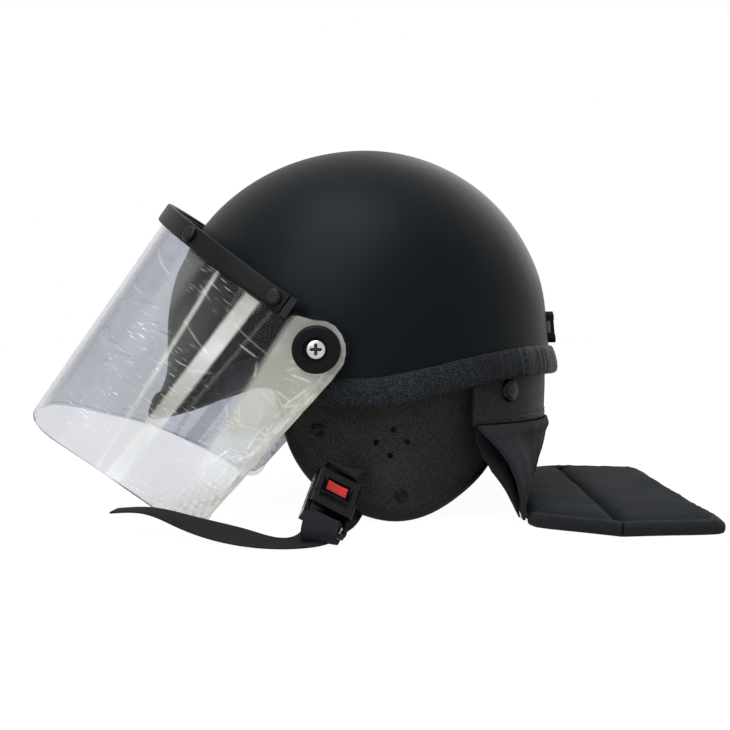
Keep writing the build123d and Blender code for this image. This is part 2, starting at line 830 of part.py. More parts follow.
fold_axis_place = Plane(origin=(-fold_half_width, fold_back, fold_height), z_dir=(1, 0, 0))
hem = fold_axis_place * Cylinder(
    hem_radius, fold_half_width * 2, align=(Align.CENTER, Align.CENTER, Align.MIN)
)
curtain = hung_cloth(curtain_shares)
curtain_top = block(
    -shell_length, shell_length, 0, shell_length, -cut_margin, band_bottom_height
)
curtain = (curtain & curtain_top) + hem
save("neck_curtain", curtain)
curtain_lining = hung_cloth(lining_shares) - curtain
save("curtain_lining", curtain_lining)


# Neck guard panels
def panel_outline(front_y, front_half, rear_y, rear_half, inset, height):
    """A four-sided panel with round corners, drawn in by a distance."""
    points = [
        (front_half - inset, front_y + inset),
        (rear_half - inset, rear_y - inset),
        (inset - rear_half, rear_y - inset),
        (inset - front_half, front_y + inset),
    ]
    face = make_face(Polyline(*points, close=True))
    return Pos(0, 0, height) * fillet(face.vertices(), radius=guard_corner)


def panel(front_y, front_half, rear_y, rear_half):
    """A quilted panel: flat below, crowned above, drawn in towards its edges."""
    return loft([
        panel_outline(
            front_y, front_half, rear_y, rear_half, draw * guard_thickness, up * guard_thickness
        )
        for up, draw in guard_crown_shares
    ], ruled=True)


panel_front_y = fold_back + hem_radius + guard_front_gap
save("neck_pad_front", panel(
    panel_front_y, fold_half_width, guard_groove_back - groove_gap, guard_groove_half_width
))
save("neck_pad_rear", panel(
    guard_groove_back + groove_gap, guard_groove_half_width, guard_end_back, guard_end_half_width
))

# Goggle-strap clip at the back of the shell
clip_zone = block(
    -clip_width / 2, clip_width / 2, 0, shell_length, clip_low, clip_high
)
clip = (dome(clip_thickness) - outer_form) & fillet(
    clip_zone.edges().filter_by(Axis.Y), radius=clip_slot_height / 2
)
clip_middle = (clip_low + clip_high) / 2
clip_slot = block(
    -clip_width, clip_width, 0, shell_length,
    clip_middle - clip_slot_height / 2, clip_middle + clip_slot_height / 2,
)
clip -= clip_slot & dome(clip_thickness / 2)
clip_rivets = []
rivet_rise = (clip_high - clip_middle + clip_slot_height / 2) / 2
for height in (clip_middle - rivet_rise, clip_middle + rivet_rise):
    place = Plane(origin=(0, 0, height), x_dir=(1, 0, 0), z_dir=(0, 1, 0))
    shaft = place * Cylinder(
        clip_rivet_radius, shell_length, align=(Align.CENTER, Align.CENTER, Align.MIN)
    )
    clip_rivets.append(shaft & (dome(clip_thickness + clip_rivet_proud) - inner_form))
    clip -= shaft
    shell -= shaft
save("rear_strap_clip", clip)
save("rear_clip_rivets", *clip_rivets)
save("shell", shell)

# Buckle frame: x across, y up towards the tongue, z out of its face
buckle_top = Vector(buckle_top_out, -buckle_top_forward, buckle_top_height)
buckle_foot = Vector(buckle_foot_out, -buckle_foot_forward, buckle_foot_height)
buckle_along = (buckle_foot - buckle_top).normalized()
buckle_across = Vector(*buckle_width_direction_share)
buckle_across = (buckle_across - buckle_along * buckle_across.dot(buckle_along)).normalized()
buckle_out = buckle_along.cross(buckle_across)
tongue_top = housing_length / 2 + tongue_reach
buckle_centre = buckle_top + buckle_along * tongue_top
buckle_plane = Plane(origin=buckle_centre, x_dir=buckle_across, z_dir=buckle_out)

housing = fillet(
    Box(housing_width, housing_length, housing_thickness).edges().filter_by(Axis.Y),
    radius=housing_round,
)
cavity_width = tongue_width + fit_gap * 2
cavity_height = tongue_thickness + fit_gap * 2
cavity_depth = tongue_insert + fit_gap
housing -= Pos(0, (housing_length - cavity_depth) / 2 + cut_margin / 2, 0) * Box(
    cavity_width, cavity_depth + cut_margin, cavity_height
)
housing -= Pos(0, window_up, housing_thickness / 2) * Box(
    window_width, window_height, housing_thickness - cavity_height
)
adjuster_y = -housing_length / 2 - adjuster_drop
adjuster_cheeks = []
for side in (1, -1):
    cheek = Pos(
        side * (housing_width - adjuster_cheek) / 2, -housing_length / 2 - (adjuster_drop + wrap_radius) / 2, 0
    ) * Box(adjuster_cheek, adjuster_drop + wrap_radius, housing_thickness / 2)
    adjuster_cheeks.append(cheek)
adjuster_place = Plane(origin=(-housing_width / 2, adjuster_y, 0), z_dir=(1, 0, 0))
adjuster_bar = adjuster_place * Cylinder(
    adjuster_bar_radius, housing_width, align=(Align.CENTER, Align.CENTER, Align.MIN)
)
for cheek in adjuster_cheeks:
    housing += cheek
housing -= adjuster_bar
tongue_low = housing_length / 2 - tongue_insert
tongue = Pos(0, (tongue_low + tongue_top) / 2, 0) * Box(
    tongue_width, tongue_top - tongue_low, tongue_thickness
)
shoulder_low = housing_length / 2 + fit_gap
shoulder = Pos(0, shoulder_low + tongue_thickness / 2, 0) * Box(
    housing_width - housing_round, tongue_thickness, tongue_thickness * 2
)
tongue += fillet(shoulder.edges().filter_by(Axis.X), radius=tongue_thickness / 4)
tongue_slot_y = tongue_top - tongue_bar_height - tongue_slot_height / 2
tongue_inner_width = tongue_width - tongue_thickness
tongue -= Pos(0, tongue_slot_y, 0) * Box(tongue_inner_width, tongue_slot_height, housing_thickness)
latch_y = window_up
tongue -= Pos(0, latch_y, 0) * Box(window_width, window_height, housing_thickness)
button_top = housing_thickness / 2 - button_sunk
button = Pos(0, window_up, button_top - button_height / 2) * Box(
    window_width - button_clearance * 2, window_height - button_clearance * 2, button_height
)
button_edges = button.edges().group_by(Axis.Z)[-1]
button = fillet(button_edges, radius=button_clearance * 2)
save("buckle_housing", buckle_plane * housing)
save("adjuster_bar", buckle_plane * adjuster_bar)
save("buckle_tongue", buckle_plane * tongue)
save("release_button", buckle_plane * button)


def ribbon(places, widths, width, thickness, ruled=False):
    """Webbing lofted through thin rectangles along a line of places."""
    sections = []
    for index, place in enumerate(places):
        before = places[max(index - 1, 0)]
        after = places[min(index + 1, len(places) - 1)]
        run = (after - before).normalized()
        across = (widths[index] - run * widths[index].dot(run)).normalized()
        sections.append(Plane(origin=place, x_dir=across, z_dir=run) * Rectangle(width, thickness))
    return loft(sections, ruled=ruled)


# Short strap on the left, from the slot to the tongue's bar
across_y = Vector(0, 1, 0)
strap_middle = slot_height + webbing_thickness / 2
tongue_bar_place = buckle_plane.from_local_coords(Vector(0, tongue_top - tongue_bar_height / 2, 0))
slot_place = Vector(strap_exit, -strap_forward, strap_middle)
half_way = (slot_place + tongue_bar_place) / 2 + Vector(0, 0, webbing_thickness)
short_run = ribbon(
    [slot_place, half_way, tongue_bar_place - (tongue_bar_place - slot_place).normalized() * tongue_bar_height],
    [across_y, (across_y + buckle_across) / 2, buckle_across],
    tongue_inner_width, webbing_thickness,
)
save("chin_strap_left", (strap_stub + short_run) - buckle_plane * tongue)

# Long strap on the right: down inside the flap, out of its slot, round and across the table
table_middle = strap_table_gap + webbing_thickness / 2
right_stub = mirror(strap_stub, about=Plane.YZ)
flap_foot = flap_bottom_half_width + strap_outside_gap
crossing_start = flap_bottom_half_width - crossing_inside_flap
outer_drop = ribbon(
    [
        Vector(-strap_exit, -strap_forward, strap_middle),
        Vector(-strap_exit - strap_outside_gap, -strap_forward, slot_height * drop_shares[0]),
        Vector(-flap_foot - strap_outside_gap * 2, -strap_forward, slot_height * drop_shares[1]),
        Vector(-flap_foot - strap_outside_gap, -strap_forward, slot_height * drop_shares[2]),
        Vector(-flap_foot + strap_turn_in, -strap_cross_forward, table_middle),
        Vector(-crossing_start, -strap_cross_forward, table_middle),
    ],
    [across_y] * 6, webbing_width, webbing_thickness, ruled=True,
)
lead_end_out = buckle_foot_out - housing_thickness
crossing = ribbon(
    [
        Vector(-crossing_start, -strap_cross_forward, table_middle),
        Vector(0, -strap_cross_forward, table_middle),
        Vector(lead_end_out, -buckle_foot_forward, table_middle),
    ],
    [across_y] * 3, webbing_width, webbing_thickness, ruled=True,
)
save("chin_strap_right", right_stub + outer_drop, crossing)

# Webbing round the adjuster's bar, and the tail that lies on the table
wrap = adjuster_place * (
    Cylinder(wrap_radius, housing_width, align=(Align.CENTER, Align.CENTER, Align.MIN))
    - Cylinder(
        adjuster_bar_radius + screw_clearance, housing_width, align=(Align.CENTER, Align.CENTER, Align.MIN)
    )
)
wrap_zone = Pos(0, adjuster_y, 0) * Box(webbing_width, housing_width, housing_width)
wrap = buckle_plane * (wrap & wrap_zone)
tail_places = []
tail_widths = []
for out, forward, up, bank in tail_shares:
    tail_places.append(Vector(tail_out * out, -tail_forward * forward, tail_rise * up + table_middle))
for index, row in enumerate(tail_shares):
    before = tail_places[max(index - 1, 0)]
    after = tail_places[min(index + 1, len(tail_places) - 1)]
    run = after - before
    level = Vector(-run.Y, run.X, 0).normalized()
    tail_widths.append(level * cos(radians(row[3])) + Vector(0, 0, 1) * sin(radians(row[3])))
tail = ribbon(tail_places, tail_widths, webbing_width, webbing_thickness)
tail -= buckle_plane * (adjuster_place * Cylinder(
    wrap_radius, housing_width, align=(Align.CENTER, Align.CENTER, Align.MIN)
))
tail -= buckle_plane * housing
bar_centre = buckle_plane.from_local_coords(Vector(0, adjuster_y, 0))
lead_in = ribbon(
    [
        Vector(lead_end_out + webbing_thickness, -buckle_foot_forward, table_middle),
        Vector(lead_end_out + wrap_radius, -buckle_foot_forward, table_middle + webbing_thickness),
        bar_centre - buckle_out * wrap_radius,
    ],
    [across_y, across_y, buckle_across], webbing_width, webbing_thickness, ruled=True,
)
lead_in = (lead_in & above_table) - buckle_plane * housing - buckle_plane * (adjuster_place * Cylinder(
    wrap_radius, housing_width, align=(Align.CENTER, Align.CENTER, Align.MIN)
))
save("strap_tail", wrap, tail, lead_in)
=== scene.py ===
from math import cos, pi, radians, sin

import bmesh
import bpy
import numpy as np
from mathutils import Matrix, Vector


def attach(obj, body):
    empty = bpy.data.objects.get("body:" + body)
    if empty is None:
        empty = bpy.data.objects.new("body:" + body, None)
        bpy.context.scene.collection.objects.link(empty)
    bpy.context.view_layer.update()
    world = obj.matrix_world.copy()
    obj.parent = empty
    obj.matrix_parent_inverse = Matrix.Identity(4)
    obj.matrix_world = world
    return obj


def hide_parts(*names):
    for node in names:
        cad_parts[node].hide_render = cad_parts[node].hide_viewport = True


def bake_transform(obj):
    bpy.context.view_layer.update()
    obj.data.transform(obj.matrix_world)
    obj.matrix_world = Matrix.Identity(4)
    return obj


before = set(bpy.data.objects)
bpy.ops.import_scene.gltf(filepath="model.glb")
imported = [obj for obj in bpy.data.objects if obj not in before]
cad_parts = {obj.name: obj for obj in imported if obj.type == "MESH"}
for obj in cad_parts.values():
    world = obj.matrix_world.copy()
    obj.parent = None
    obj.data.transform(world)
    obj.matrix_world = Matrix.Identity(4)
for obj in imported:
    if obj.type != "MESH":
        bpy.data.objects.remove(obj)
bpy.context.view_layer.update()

# Camera: in front of the wearer's left side and level with the rim, as in the photograph. Its lens
# and place follow from both ends of the visor, both ends of the neck guard and the table's line.
camera_place = (0.770, 0.030, 0.117)
camera_heading = Vector((-1.0, -0.0391, -0.0291))
camera_lens = 54.2
camera_sensor = 36.0
camera = bpy.data.objects.new("studio_camera", bpy.data.cameras.new("studio_camera"))
camera.data.lens = camera_lens
camera.data.sensor_width = camera_sensor
camera.location = camera_place
camera.rotation_euler = camera_heading.to_track_quat("-Z", "Y").to_euler()
bpy.context.scene.collection.objects.link(camera)
bpy.context.scene.camera = camera
bpy.context.scene.view_settings.view_transform = "Standard"


# Studio: a pale floor, a white surround and three broad soft lamps. The floor takes the shadows,
# and cameras, mirrors and glass see the surround as white.
def add_node(tree, kind, wires=None, **settings):
    """Adds a node, gives it its settings, and feeds its inputs from sockets or plain values."""
    made = tree.nodes.new(kind)
    for key, value in settings.items():
        setattr(made, key, value)
    for key, value in (wires or {}).items():
        if isinstance(value, bpy.types.NodeSocket):
            tree.links.new(value, made.inputs[key])
        else:
            made.inputs[key].default_value = value
    return made


def worked_out(tree, operation, one, other=None, clamp=False):
    """The sum, product or other result of one or two masks or values."""
    values = {0: one} if other is None else {0: one, 1: other}
    return add_node(tree, "ShaderNodeMath", values, operation=operation, use_clamp=clamp).outputs[0]


def seen_white(tree):
    """One where a ray comes from the camera, a reflection or glass, and nought elsewhere."""
    path = add_node(tree, "ShaderNodeLightPath")
    either = worked_out(tree, "MAXIMUM", path.outputs["Is Camera Ray"], path.outputs["Is Glossy Ray"])
    return worked_out(tree, "MAXIMUM", either, path.outputs["Is Transmission Ray"])


# The floor shows nine parts of plain white to one of its own shading, so shadows stay soft on it.
# What lights the helmet from all round is weaker than the white that cameras and mirrors see
floor_reach, floor_white_share, floor_white_strength = 6.0, 0.90, 1.07
floor_colour, surround_strength = (0.9, 0.9, 0.9, 1), 0.50
floor_mesh = bpy.data.meshes.new("studio_floor")
floor_mesh.from_pydata(
    [(-floor_reach, -floor_reach, 0), (floor_reach, -floor_reach, 0),
     (floor_reach, floor_reach, 0), (-floor_reach, floor_reach, 0)], [], [(0, 1, 2, 3)],
)
floor = bpy.data.objects.new("studio_floor", floor_mesh)
bpy.context.scene.collection.objects.link(floor)
floor_finish = bpy.data.materials.new("pale_floor")
floor_finish.use_nodes = True
floor_tree = floor_finish.node_tree
floor_tree.nodes.clear()
matt_floor = add_node(floor_tree, "ShaderNodeBsdfDiffuse", {"Color": floor_colour})
white_floor = add_node(floor_tree, "ShaderNodeEmission", {
    "Color": (1, 1, 1, 1), "Strength": floor_white_strength,
})
floor_mix = add_node(floor_tree, "ShaderNodeMixShader", {
    0: worked_out(floor_tree, "MULTIPLY", seen_white(floor_tree), floor_white_share),
    1: matt_floor.outputs[0], 2: white_floor.outputs[0],
})
add_node(floor_tree, "ShaderNodeOutputMaterial", {"Surface": floor_mix.outputs[0]})
floor_mesh.materials.append(floor_finish)

surround = bpy.data.worlds.new("studio_surround")
bpy.context.scene.world = surround
surround.use_nodes = True
surround_tree = surround.node_tree
surround_tree.nodes.clear()
soft_sky, white_sky = (
    add_node(surround_tree, "ShaderNodeBackground", {"Color": (1, 1, 1, 1), "Strength": strength})
    for strength in (surround_strength, 1.0)
)
sky_mix = add_node(surround_tree, "ShaderNodeMixShader", {
    0: seen_white(surround_tree), 1: soft_sky.outputs[0], 2: white_sky.outputs[0],
})
add_node(surround_tree, "ShaderNodeOutputWorld", {"Surface": sky_mix.outputs[0]})

# Place, size in metres and power in watts. Every lamp looks at the middle of the helmet
lamp_aim = Vector((0, 0.02, 0.12))
for lamp_name, lamp_place, lamp_size, lamp_watts in (
    ("key_lamp", (1.3, -0.65, 0.95), 0.9, 11.0),
    ("top_lamp", (0.62, -0.22, 1.55), 1.0, 17.0),
    ("back_lamp", (-1.2, 0.7, 0.9), 1.2, 6.0),
):
    lamp = bpy.data.objects.new(lamp_name, bpy.data.lights.new(lamp_name, "AREA"))
    lamp.data.size = lamp_size
    lamp.data.energy = lamp_watts
    lamp.location = lamp_place
    lamp.rotation_euler = (lamp_aim - Vector(lamp_place)).to_track_quat("-Z", "Y").to_euler()
    bpy.context.scene.collection.objects.link(lamp)


# Shell: one moulded bowl sprayed satin black, kept from the CAD model with its rivet and pivot
# holes. The paint has the faint pebble of a sprayed coat and slow patches of wear.
def finish_called(name, colour, roughness, **plain):
    """A Principled material with its plain values set on the shader's own sockets."""
    material = bpy.data.materials.new(name)
    material.use_nodes = True
    shader = material.node_tree.nodes["Principled BSDF"]
    shader.inputs["Base Color"].default_value = (*colour, 1)
    shader.inputs["Roughness"].default_value = roughness
    for key, value in plain.items():
        shader.inputs[key.replace("_", " ").title().replace("Ior", "IOR")].default_value = value
    return material, material.node_tree, shader


def new_group(name, inputs, outputs):
    """A node group with named float, vector or colour sockets."""
    tree = bpy.data.node_groups.new(name, "ShaderNodeTree")
    for socket, kind in inputs:
        tree.interface.new_socket(socket, in_out="INPUT", socket_type=kind)
    for socket, kind in outputs:
        tree.interface.new_socket(socket, in_out="OUTPUT", socket_type=kind)
    return tree, add_node(tree, "NodeGroupInput"), add_node(tree, "NodeGroupOutput")


# Mottle: slow and fine noise over Object coordinates, for patchy colour, roughness and pebbled paint
mottle, mottle_in, mottle_out = new_group(
    "mottle",
    [("Patch Scale", "NodeSocketFloat"), ("Grain Scale", "NodeSocketFloat")],
    [("Patch", "NodeSocketFloat"), ("Grain", "NodeSocketFloat")],
)
mottle_where = add_node(mottle, "ShaderNodeTexCoord").outputs["Object"]
mottle_patch = add_node(mottle, "ShaderNodeTexNoise", {
    "Vector": mottle_where, "Scale": mottle_in.outputs["Patch Scale"], "Detail": 4.0, "Roughness": 0.6,
})
mottle_grain = add_node(mottle, "ShaderNodeTexNoise", {
    "Vector": mottle_where, "Scale": mottle_in.outputs["Grain Scale"], "Detail": 2.0,
})
mottle.links.new(mottle_patch.outputs["Fac"], mottle_out.inputs["Patch"])
mottle.links.new(mottle_grain.outputs["Fac"], mottle_out.inputs["Grain"])


def mottled(tree, patch_scale, grain_scale):
    """Places the mottle group in a material with its two scales."""
    return add_node(tree, "ShaderNodeGroup", {
        "Patch Scale": patch_scale, "Grain Scale": grain_scale,
    }, node_tree=mottle)


# Noise seldom leaves this range, so it is what a mask is stretched from
noise_low, noise_high = 0.3, 0.7


def between(tree, share, low, high):
    """Turns a mask over the range of noise into a value from low to high."""
    return add_node(tree, "ShaderNodeMapRange", {
        "Value": share, "From Min": noise_low, "From Max": noise_high, "To Min": low, "To Max": high,
    }).outputs["Result"]


def colours(tree, share, dark, light):
    """Blends two colours by a mask over the range of noise."""
    ramp = add_node(tree, "ShaderNodeValToRGB", {"Fac": share})
    for stop, position, colour in zip(ramp.color_ramp.elements, (noise_low, noise_high), (dark, light)):
        stop.position = position
        stop.color = (*colour, 1)
    return ramp.outputs["Color"]


def raised(tree, shader, height, strength, distance):
    """Feeds a height through a Bump node to the shader's normal. Distance is in metres."""
    bump = add_node(tree, "ShaderNodeBump", {
        "Height": height, "Strength": strength, "Distance": distance,
    })
    tree.links.new(bump.outputs["Normal"], shader.inputs["Normal"])


def mottled_finish(name, dark, light, rough, scales, relief, **plain):
    """A solid finish with patchy colour and gloss and a fine raised grain. rough holds the least
    and most roughness, scales those of patch and grain, relief the strength and depth of the grain."""
    material, tree, shader = finish_called(name, light, rough[0], **plain)
    noise = mottled(tree, *scales)
    tree.links.new(colours(tree, noise.outputs["Patch"], dark, light), shader.inputs["Base Color"])
    tree.links.new(between(tree, noise.outputs["Patch"], *rough), shader.inputs["Roughness"])
    raised(tree, shader, noise.outputs["Grain"], *relief)
    return material


def dress(material, *nodes):
    """Gives CAD nodes a material."""
    for name in nodes:
        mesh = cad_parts[name].data
        mesh.materials.clear()
        mesh.materials.append(material)


shell_paint = mottled_finish(
    "satin_black_paint", (0.0020, 0.0027, 0.0034), (0.0036, 0.0048, 0.0060), rough=(0.40, 0.47),
    scales=(7.0, 1500.0), relief=(0.12, 0.00015),
    specular_ior_level=0.085, specular_tint=(0.78, 0.90, 1.0, 1.0),
)
dress(shell_paint, "shell")


# Edge trim: a grained soft strip folded round the shell's rim and drawn tight, with small puckers
# where it turns the corners. The rim dips under the ears and sweeps up at the brow and nape.
def through(points, count):
    """Places at even steps along a natural cubic spline through points, with chord-length knots."""
    points = np.asarray(points, float)
    steps = np.linalg.norm(np.diff(points, axis=0), axis=1)
    knots = np.concatenate([[0.0], np.cumsum(steps)])
    last = len(points) - 1
    matrix = np.eye(last + 1)
    right = np.zeros_like(points)
    for k in range(1, last):
        matrix[k, k - 1:k + 2] = steps[k - 1], 2 * (steps[k - 1] + steps[k]), steps[k]
        right[k] = 6 * (
            (points[k + 1] - points[k]) / steps[k] - (points[k] - points[k - 1]) / steps[k - 1]
        )
    bend = np.linalg.solve(matrix, right)
    at = np.linspace(0, knots[-1], count)
    k = np.clip(np.searchsorted(knots, at) - 1, 0, last - 1)
    step = steps[k][:, None]
    near = (knots[k + 1] - at)[:, None] / step
    far = 1 - near
    return near * points[k] + far * points[k + 1] + (
        (near ** 3 - near) * bend[k] + (far ** 3 - far) * bend[k + 1]
    ) * step ** 2 / 6


def as_height(points, at, count=400):
    """Reads a smooth curve, given as (place, value) points, at other places."""
    line = through(points, count)
    return np.interp(at, line[:, 0], line[:, 1])


shell_front, shell_rear, shell_half_width = 137.0, 126.0, 118.0
dome_centre, dome_rise, skirt_depth = 118.0, 124.7, 72.0
skirt_drops = np.array([0.0, 0.2, 0.4, 0.6, 0.8, 1.0])
skirt_front = np.array([1.0, 1.0, 1.006, 1.048, 1.083, 1.095])
skirt_rear = np.array([1.0, 1.015, 1.042, 1.063, 1.077, 1.085])
skirt_side = np.array([1.0, 1.0, 1.001, 1.002, 1.003, 1.004])
rim_line = [
    (-173.6, 53.9), (-131.5, 63.6), (-89.9, 76.7), (-61.0, 86.2), (-35.5, 80.1),
    (-3.9, 73.9), (30.0, 77.7), (70.0, 86.4), (103.1, 92.0), (163.1, 89.3),
]


def shell_place(angle, height, out=0.0):
    """The shell's outside: half ovals in plan that shrink as the root of one less the square of
    the height over the rise, flare below the dome's centre, and move out along their normal."""
    drop = np.clip((dome_centre - height) / skirt_depth, 0, 1)
    level = np.clip((height - dome_centre) / dome_rise, 0, 1)
    spread = np.sqrt(1 - level ** 2)
    front = shell_front * np.interp(drop, skirt_drops, skirt_front)
    rear = shell_rear * np.interp(drop, skirt_drops, skirt_rear)
    reach = np.where(np.sin(angle) < 0, front, rear) * spread
    width = shell_half_width * np.interp(drop, skirt_drops, skirt_side) * spread
    x, y = width * np.cos(angle), reach * np.sin(angle)
    slope = np.hypot(x / width ** 2, y / reach ** 2)
    return np.stack([
        x + out * x / width ** 2 / slope, y + out * y / reach ** 2 / slope, height + 0 * x,
    ], -1)


def rim_height(angle, first_guess=80.0, rounds=12):
    """The rim's height at each angle round the shell, by settling height and reach together."""
    height = np.full_like(angle, first_guess)
    for _ in range(rounds):
        height = as_height(rim_line, shell_place(angle, height)[..., 1])
    return height


# The CAD model's millimetre in metres, and how near corners are merged and slivers dissolved
MM = 0.001
weld_reach, sliver_reach = 2e-6, 1e-6


def make_mesh(name, places, closed_rows=False, closed_columns=True, capped=True, sharp=55.0):
    """A mesh from a grid of places in millimetres: quads between neighbours, UVs in millimetres
    along rows and columns, ends filled, doubles merged and faces turned outwards."""
    rows, columns = places.shape[:2]
    index = np.arange(rows * columns).reshape(rows, columns)
    if closed_rows:
        index = np.vstack([index, index[:1]])
    if closed_columns:
        index = np.hstack([index, index[:, :1]])
    laid = places.reshape(-1, 3)[index]
    down = np.linalg.norm(np.diff(laid, axis=0), axis=-1).mean(1)
    across = np.linalg.norm(np.diff(laid, axis=1), axis=-1).mean(0)
    down = np.concatenate([[0], np.cumsum(down)])
    across = np.concatenate([[0], np.cumsum(across)])
    uv = np.stack(np.meshgrid(down, across, indexing="ij"), -1)
    here, there = slice(None, -1), slice(1, None)
    corners = (here, here), (there, here), (there, there), (here, there)
    faces = np.stack([index[corner] for corner in corners], -1).reshape(-1, 4)
    face_uv = np.stack([uv[corner] for corner in corners], -2).reshape(-1, 2)
    mesh = bpy.data.meshes.new(name)
    mesh.from_pydata((places.reshape(-1, 3) * MM).tolist(), [], faces.tolist())
    mesh.uv_layers.new(name="UVMap").data.foreach_set("uv", face_uv.ravel())
    work = bmesh.new()
    work.from_mesh(mesh)
    bmesh.ops.remove_doubles(work, verts=work.verts, dist=weld_reach)
    bmesh.ops.dissolve_degenerate(work, edges=work.edges, dist=sliver_reach)
    if capped:
        bmesh.ops.holes_fill(work, edges=[e for e in work.edges if e.is_boundary])
        bmesh.ops.recalc_face_normals(work, faces=work.faces)
    work.to_mesh(mesh)
    work.free()
    mesh.shade_smooth()
    mesh.set_sharp_from_angle(angle=radians(sharp))
    return mesh


def put(mesh, material, body, slot, *replaced):
    """Links a finished mesh as a piece of the same name, which rides on a body if one is named and
    stands for the CAD nodes that it replaces."""
    made = bpy.data.objects.new(mesh.name, mesh)
    bpy.context.scene.collection.objects.link(made)
    mesh.materials.clear()
    mesh.materials.append(material)
    if body:
        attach(made, body)
    if replaced:
        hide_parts(*replaced)
    return made


def ripple(at, seed, waves, longest, shortest):
    """Uneven ripples along a length: a sum of sines with seeded lengths and starts, about -1 to 1."""
    rng = np.random.default_rng(seed)
    lengths = rng.uniform(shortest, longest, waves)
    starts = rng.uniform(0, 2 * pi, waves)
    total = np.sin(at[..., None] * 2 * pi / lengths + starts).sum(-1)
    return total / np.sqrt(waves)


# Leather grain: small raised cells with fine creases between them, over Object coordinates
grain, grain_in, grain_out = new_group(
    "leather_grain",
    [("Vector", "NodeSocketVector"), ("Cells", "NodeSocketFloat")],
    [("Height", "NodeSocketFloat"), ("Shade", "NodeSocketFloat")],
)
grain_warp = add_node(grain, "ShaderNodeTexNoise", {
    "Vector": grain_in.outputs["Vector"], "Scale": grain_in.outputs["Cells"], "Detail": 2.0,
})
grain_cells = add_node(grain, "ShaderNodeTexVoronoi", {
    "Vector": grain_in.outputs["Vector"], "Scale": grain_in.outputs["Cells"], "Smoothness": 0.6,
}, feature="SMOOTH_F1")
grain_height = worked_out(grain, "SUBTRACT", grain_warp.outputs["Fac"], grain_cells.outputs["Distance"])
grain_shade = add_node(grain, "ShaderNodeMapRange", {
    "Value": grain_height, "From Min": -0.25, "From Max": 0.35,
})
grain.links.new(grain_height, grain_out.inputs["Height"])
grain.links.new(grain_shade.outputs["Result"], grain_out.inputs["Shade"])


def grained_finish(name, dark, light, rough, cells, relief, **plain):
    """Leather or soft rubber: pebbled cells shade the colour and raise the surface, and slow
    patches wear it. rough and relief are as in mottled_finish, cells is the scale of the cells."""
    material, tree, shader = finish_called(name, light, rough[0], **plain)
    where = add_node(tree, "ShaderNodeTexCoord").outputs["Object"]
    pebble = add_node(tree, "ShaderNodeGroup", {"Vector": where, "Cells": cells}, node_tree=grain)
    worn = mottled(tree, patch_scale=18.0, grain_scale=300.0).outputs["Patch"]
    doubled = worked_out(tree, "MULTIPLY", worked_out(tree, "MULTIPLY", pebble.outputs["Shade"], worn), 2.0)
    tree.links.new(colours(tree, doubled, dark, light), shader.inputs["Base Color"])
    tree.links.new(between(tree, worn, *rough[::-1]), shader.inputs["Roughness"])
    raised(tree, shader, pebble.outputs["Height"], *relief)
    return material


trim_finish = grained_finish(
    "grained_trim", (0.0018, 0.0026, 0.0036), (0.016, 0.021, 0.028), rough=(0.44, 0.58),
    cells=900.0, relief=(0.9, 0.0007), specular_ior_level=0.14,
)
trim_profile = np.array([
    (0.15, 14.9), (0.5, 15.9), (1.3, 16.1), (2.2, 15.0), (2.9, 12.0), (3.2, 8.5), (3.1, 4.5), (2.6, 1.2),
    (1.5, -1.2), (-0.4, -2.4), (-2.4, -2.5), (-4.2, -1.6), (-5.2, 0.4), (-5.5, 4.0), (-5.5, 9.0),
    (-5.3, 13.0), (-4.7, 14.8), (-4.1, 14.6), (-4.1, 6.0), (-4.1, -0.2), (-2.0, -0.3), (0.12, -0.2),
    (0.12, 6.0),
])
trim_steps = 520
trim_lip, pucker_depth, sway_depth = 3.2, 0.34, 0.2
trim_angles = np.linspace(0, 2 * pi, trim_steps, endpoint=False)
trim_rim = rim_height(trim_angles)
trim_length = np.concatenate([[0], np.cumsum(np.linalg.norm(
    np.diff(shell_place(trim_angles, trim_rim), axis=0), axis=1
))])
trim_pucker = ripple(trim_length, seed=3, waves=9, longest=16.0, shortest=5.0)[:, None]
trim_sway = ripple(trim_length, seed=5, waves=5, longest=40.0, shortest=12.0)[:, None]
trim_outer = np.clip(trim_profile[:, 0] / trim_lip, 0, 1)[None] ** 0.7
trim_out = trim_profile[None, :, 0] + pucker_depth * trim_pucker * trim_outer
trim_up = trim_profile[None, :, 1] + sway_depth * trim_sway * trim_outer
trim_places = shell_place(
    np.repeat(trim_angles[:, None], len(trim_profile), 1), trim_rim[:, None] + trim_up, trim_out
)
put(make_mesh("rim_trim", trim_places, closed_rows=True), trim_finish, "helmet", "trim_rubber", "edge_trim")


# Impact liner: a one-piece bowl of black foam beads, moulded to shape and glued inside the shell.
# It is kept from the CAD model and gets the foam's dull, pitted look.
foam_finish = mottled_finish(
    "black_foam", (0.006, 0.006, 0.0065), (0.016, 0.016, 0.017), rough=(0.75, 0.9),
    scales=(30.0, 700.0), relief=(0.5, 0.0004),
)
dress(foam_finish, "impact_liner")


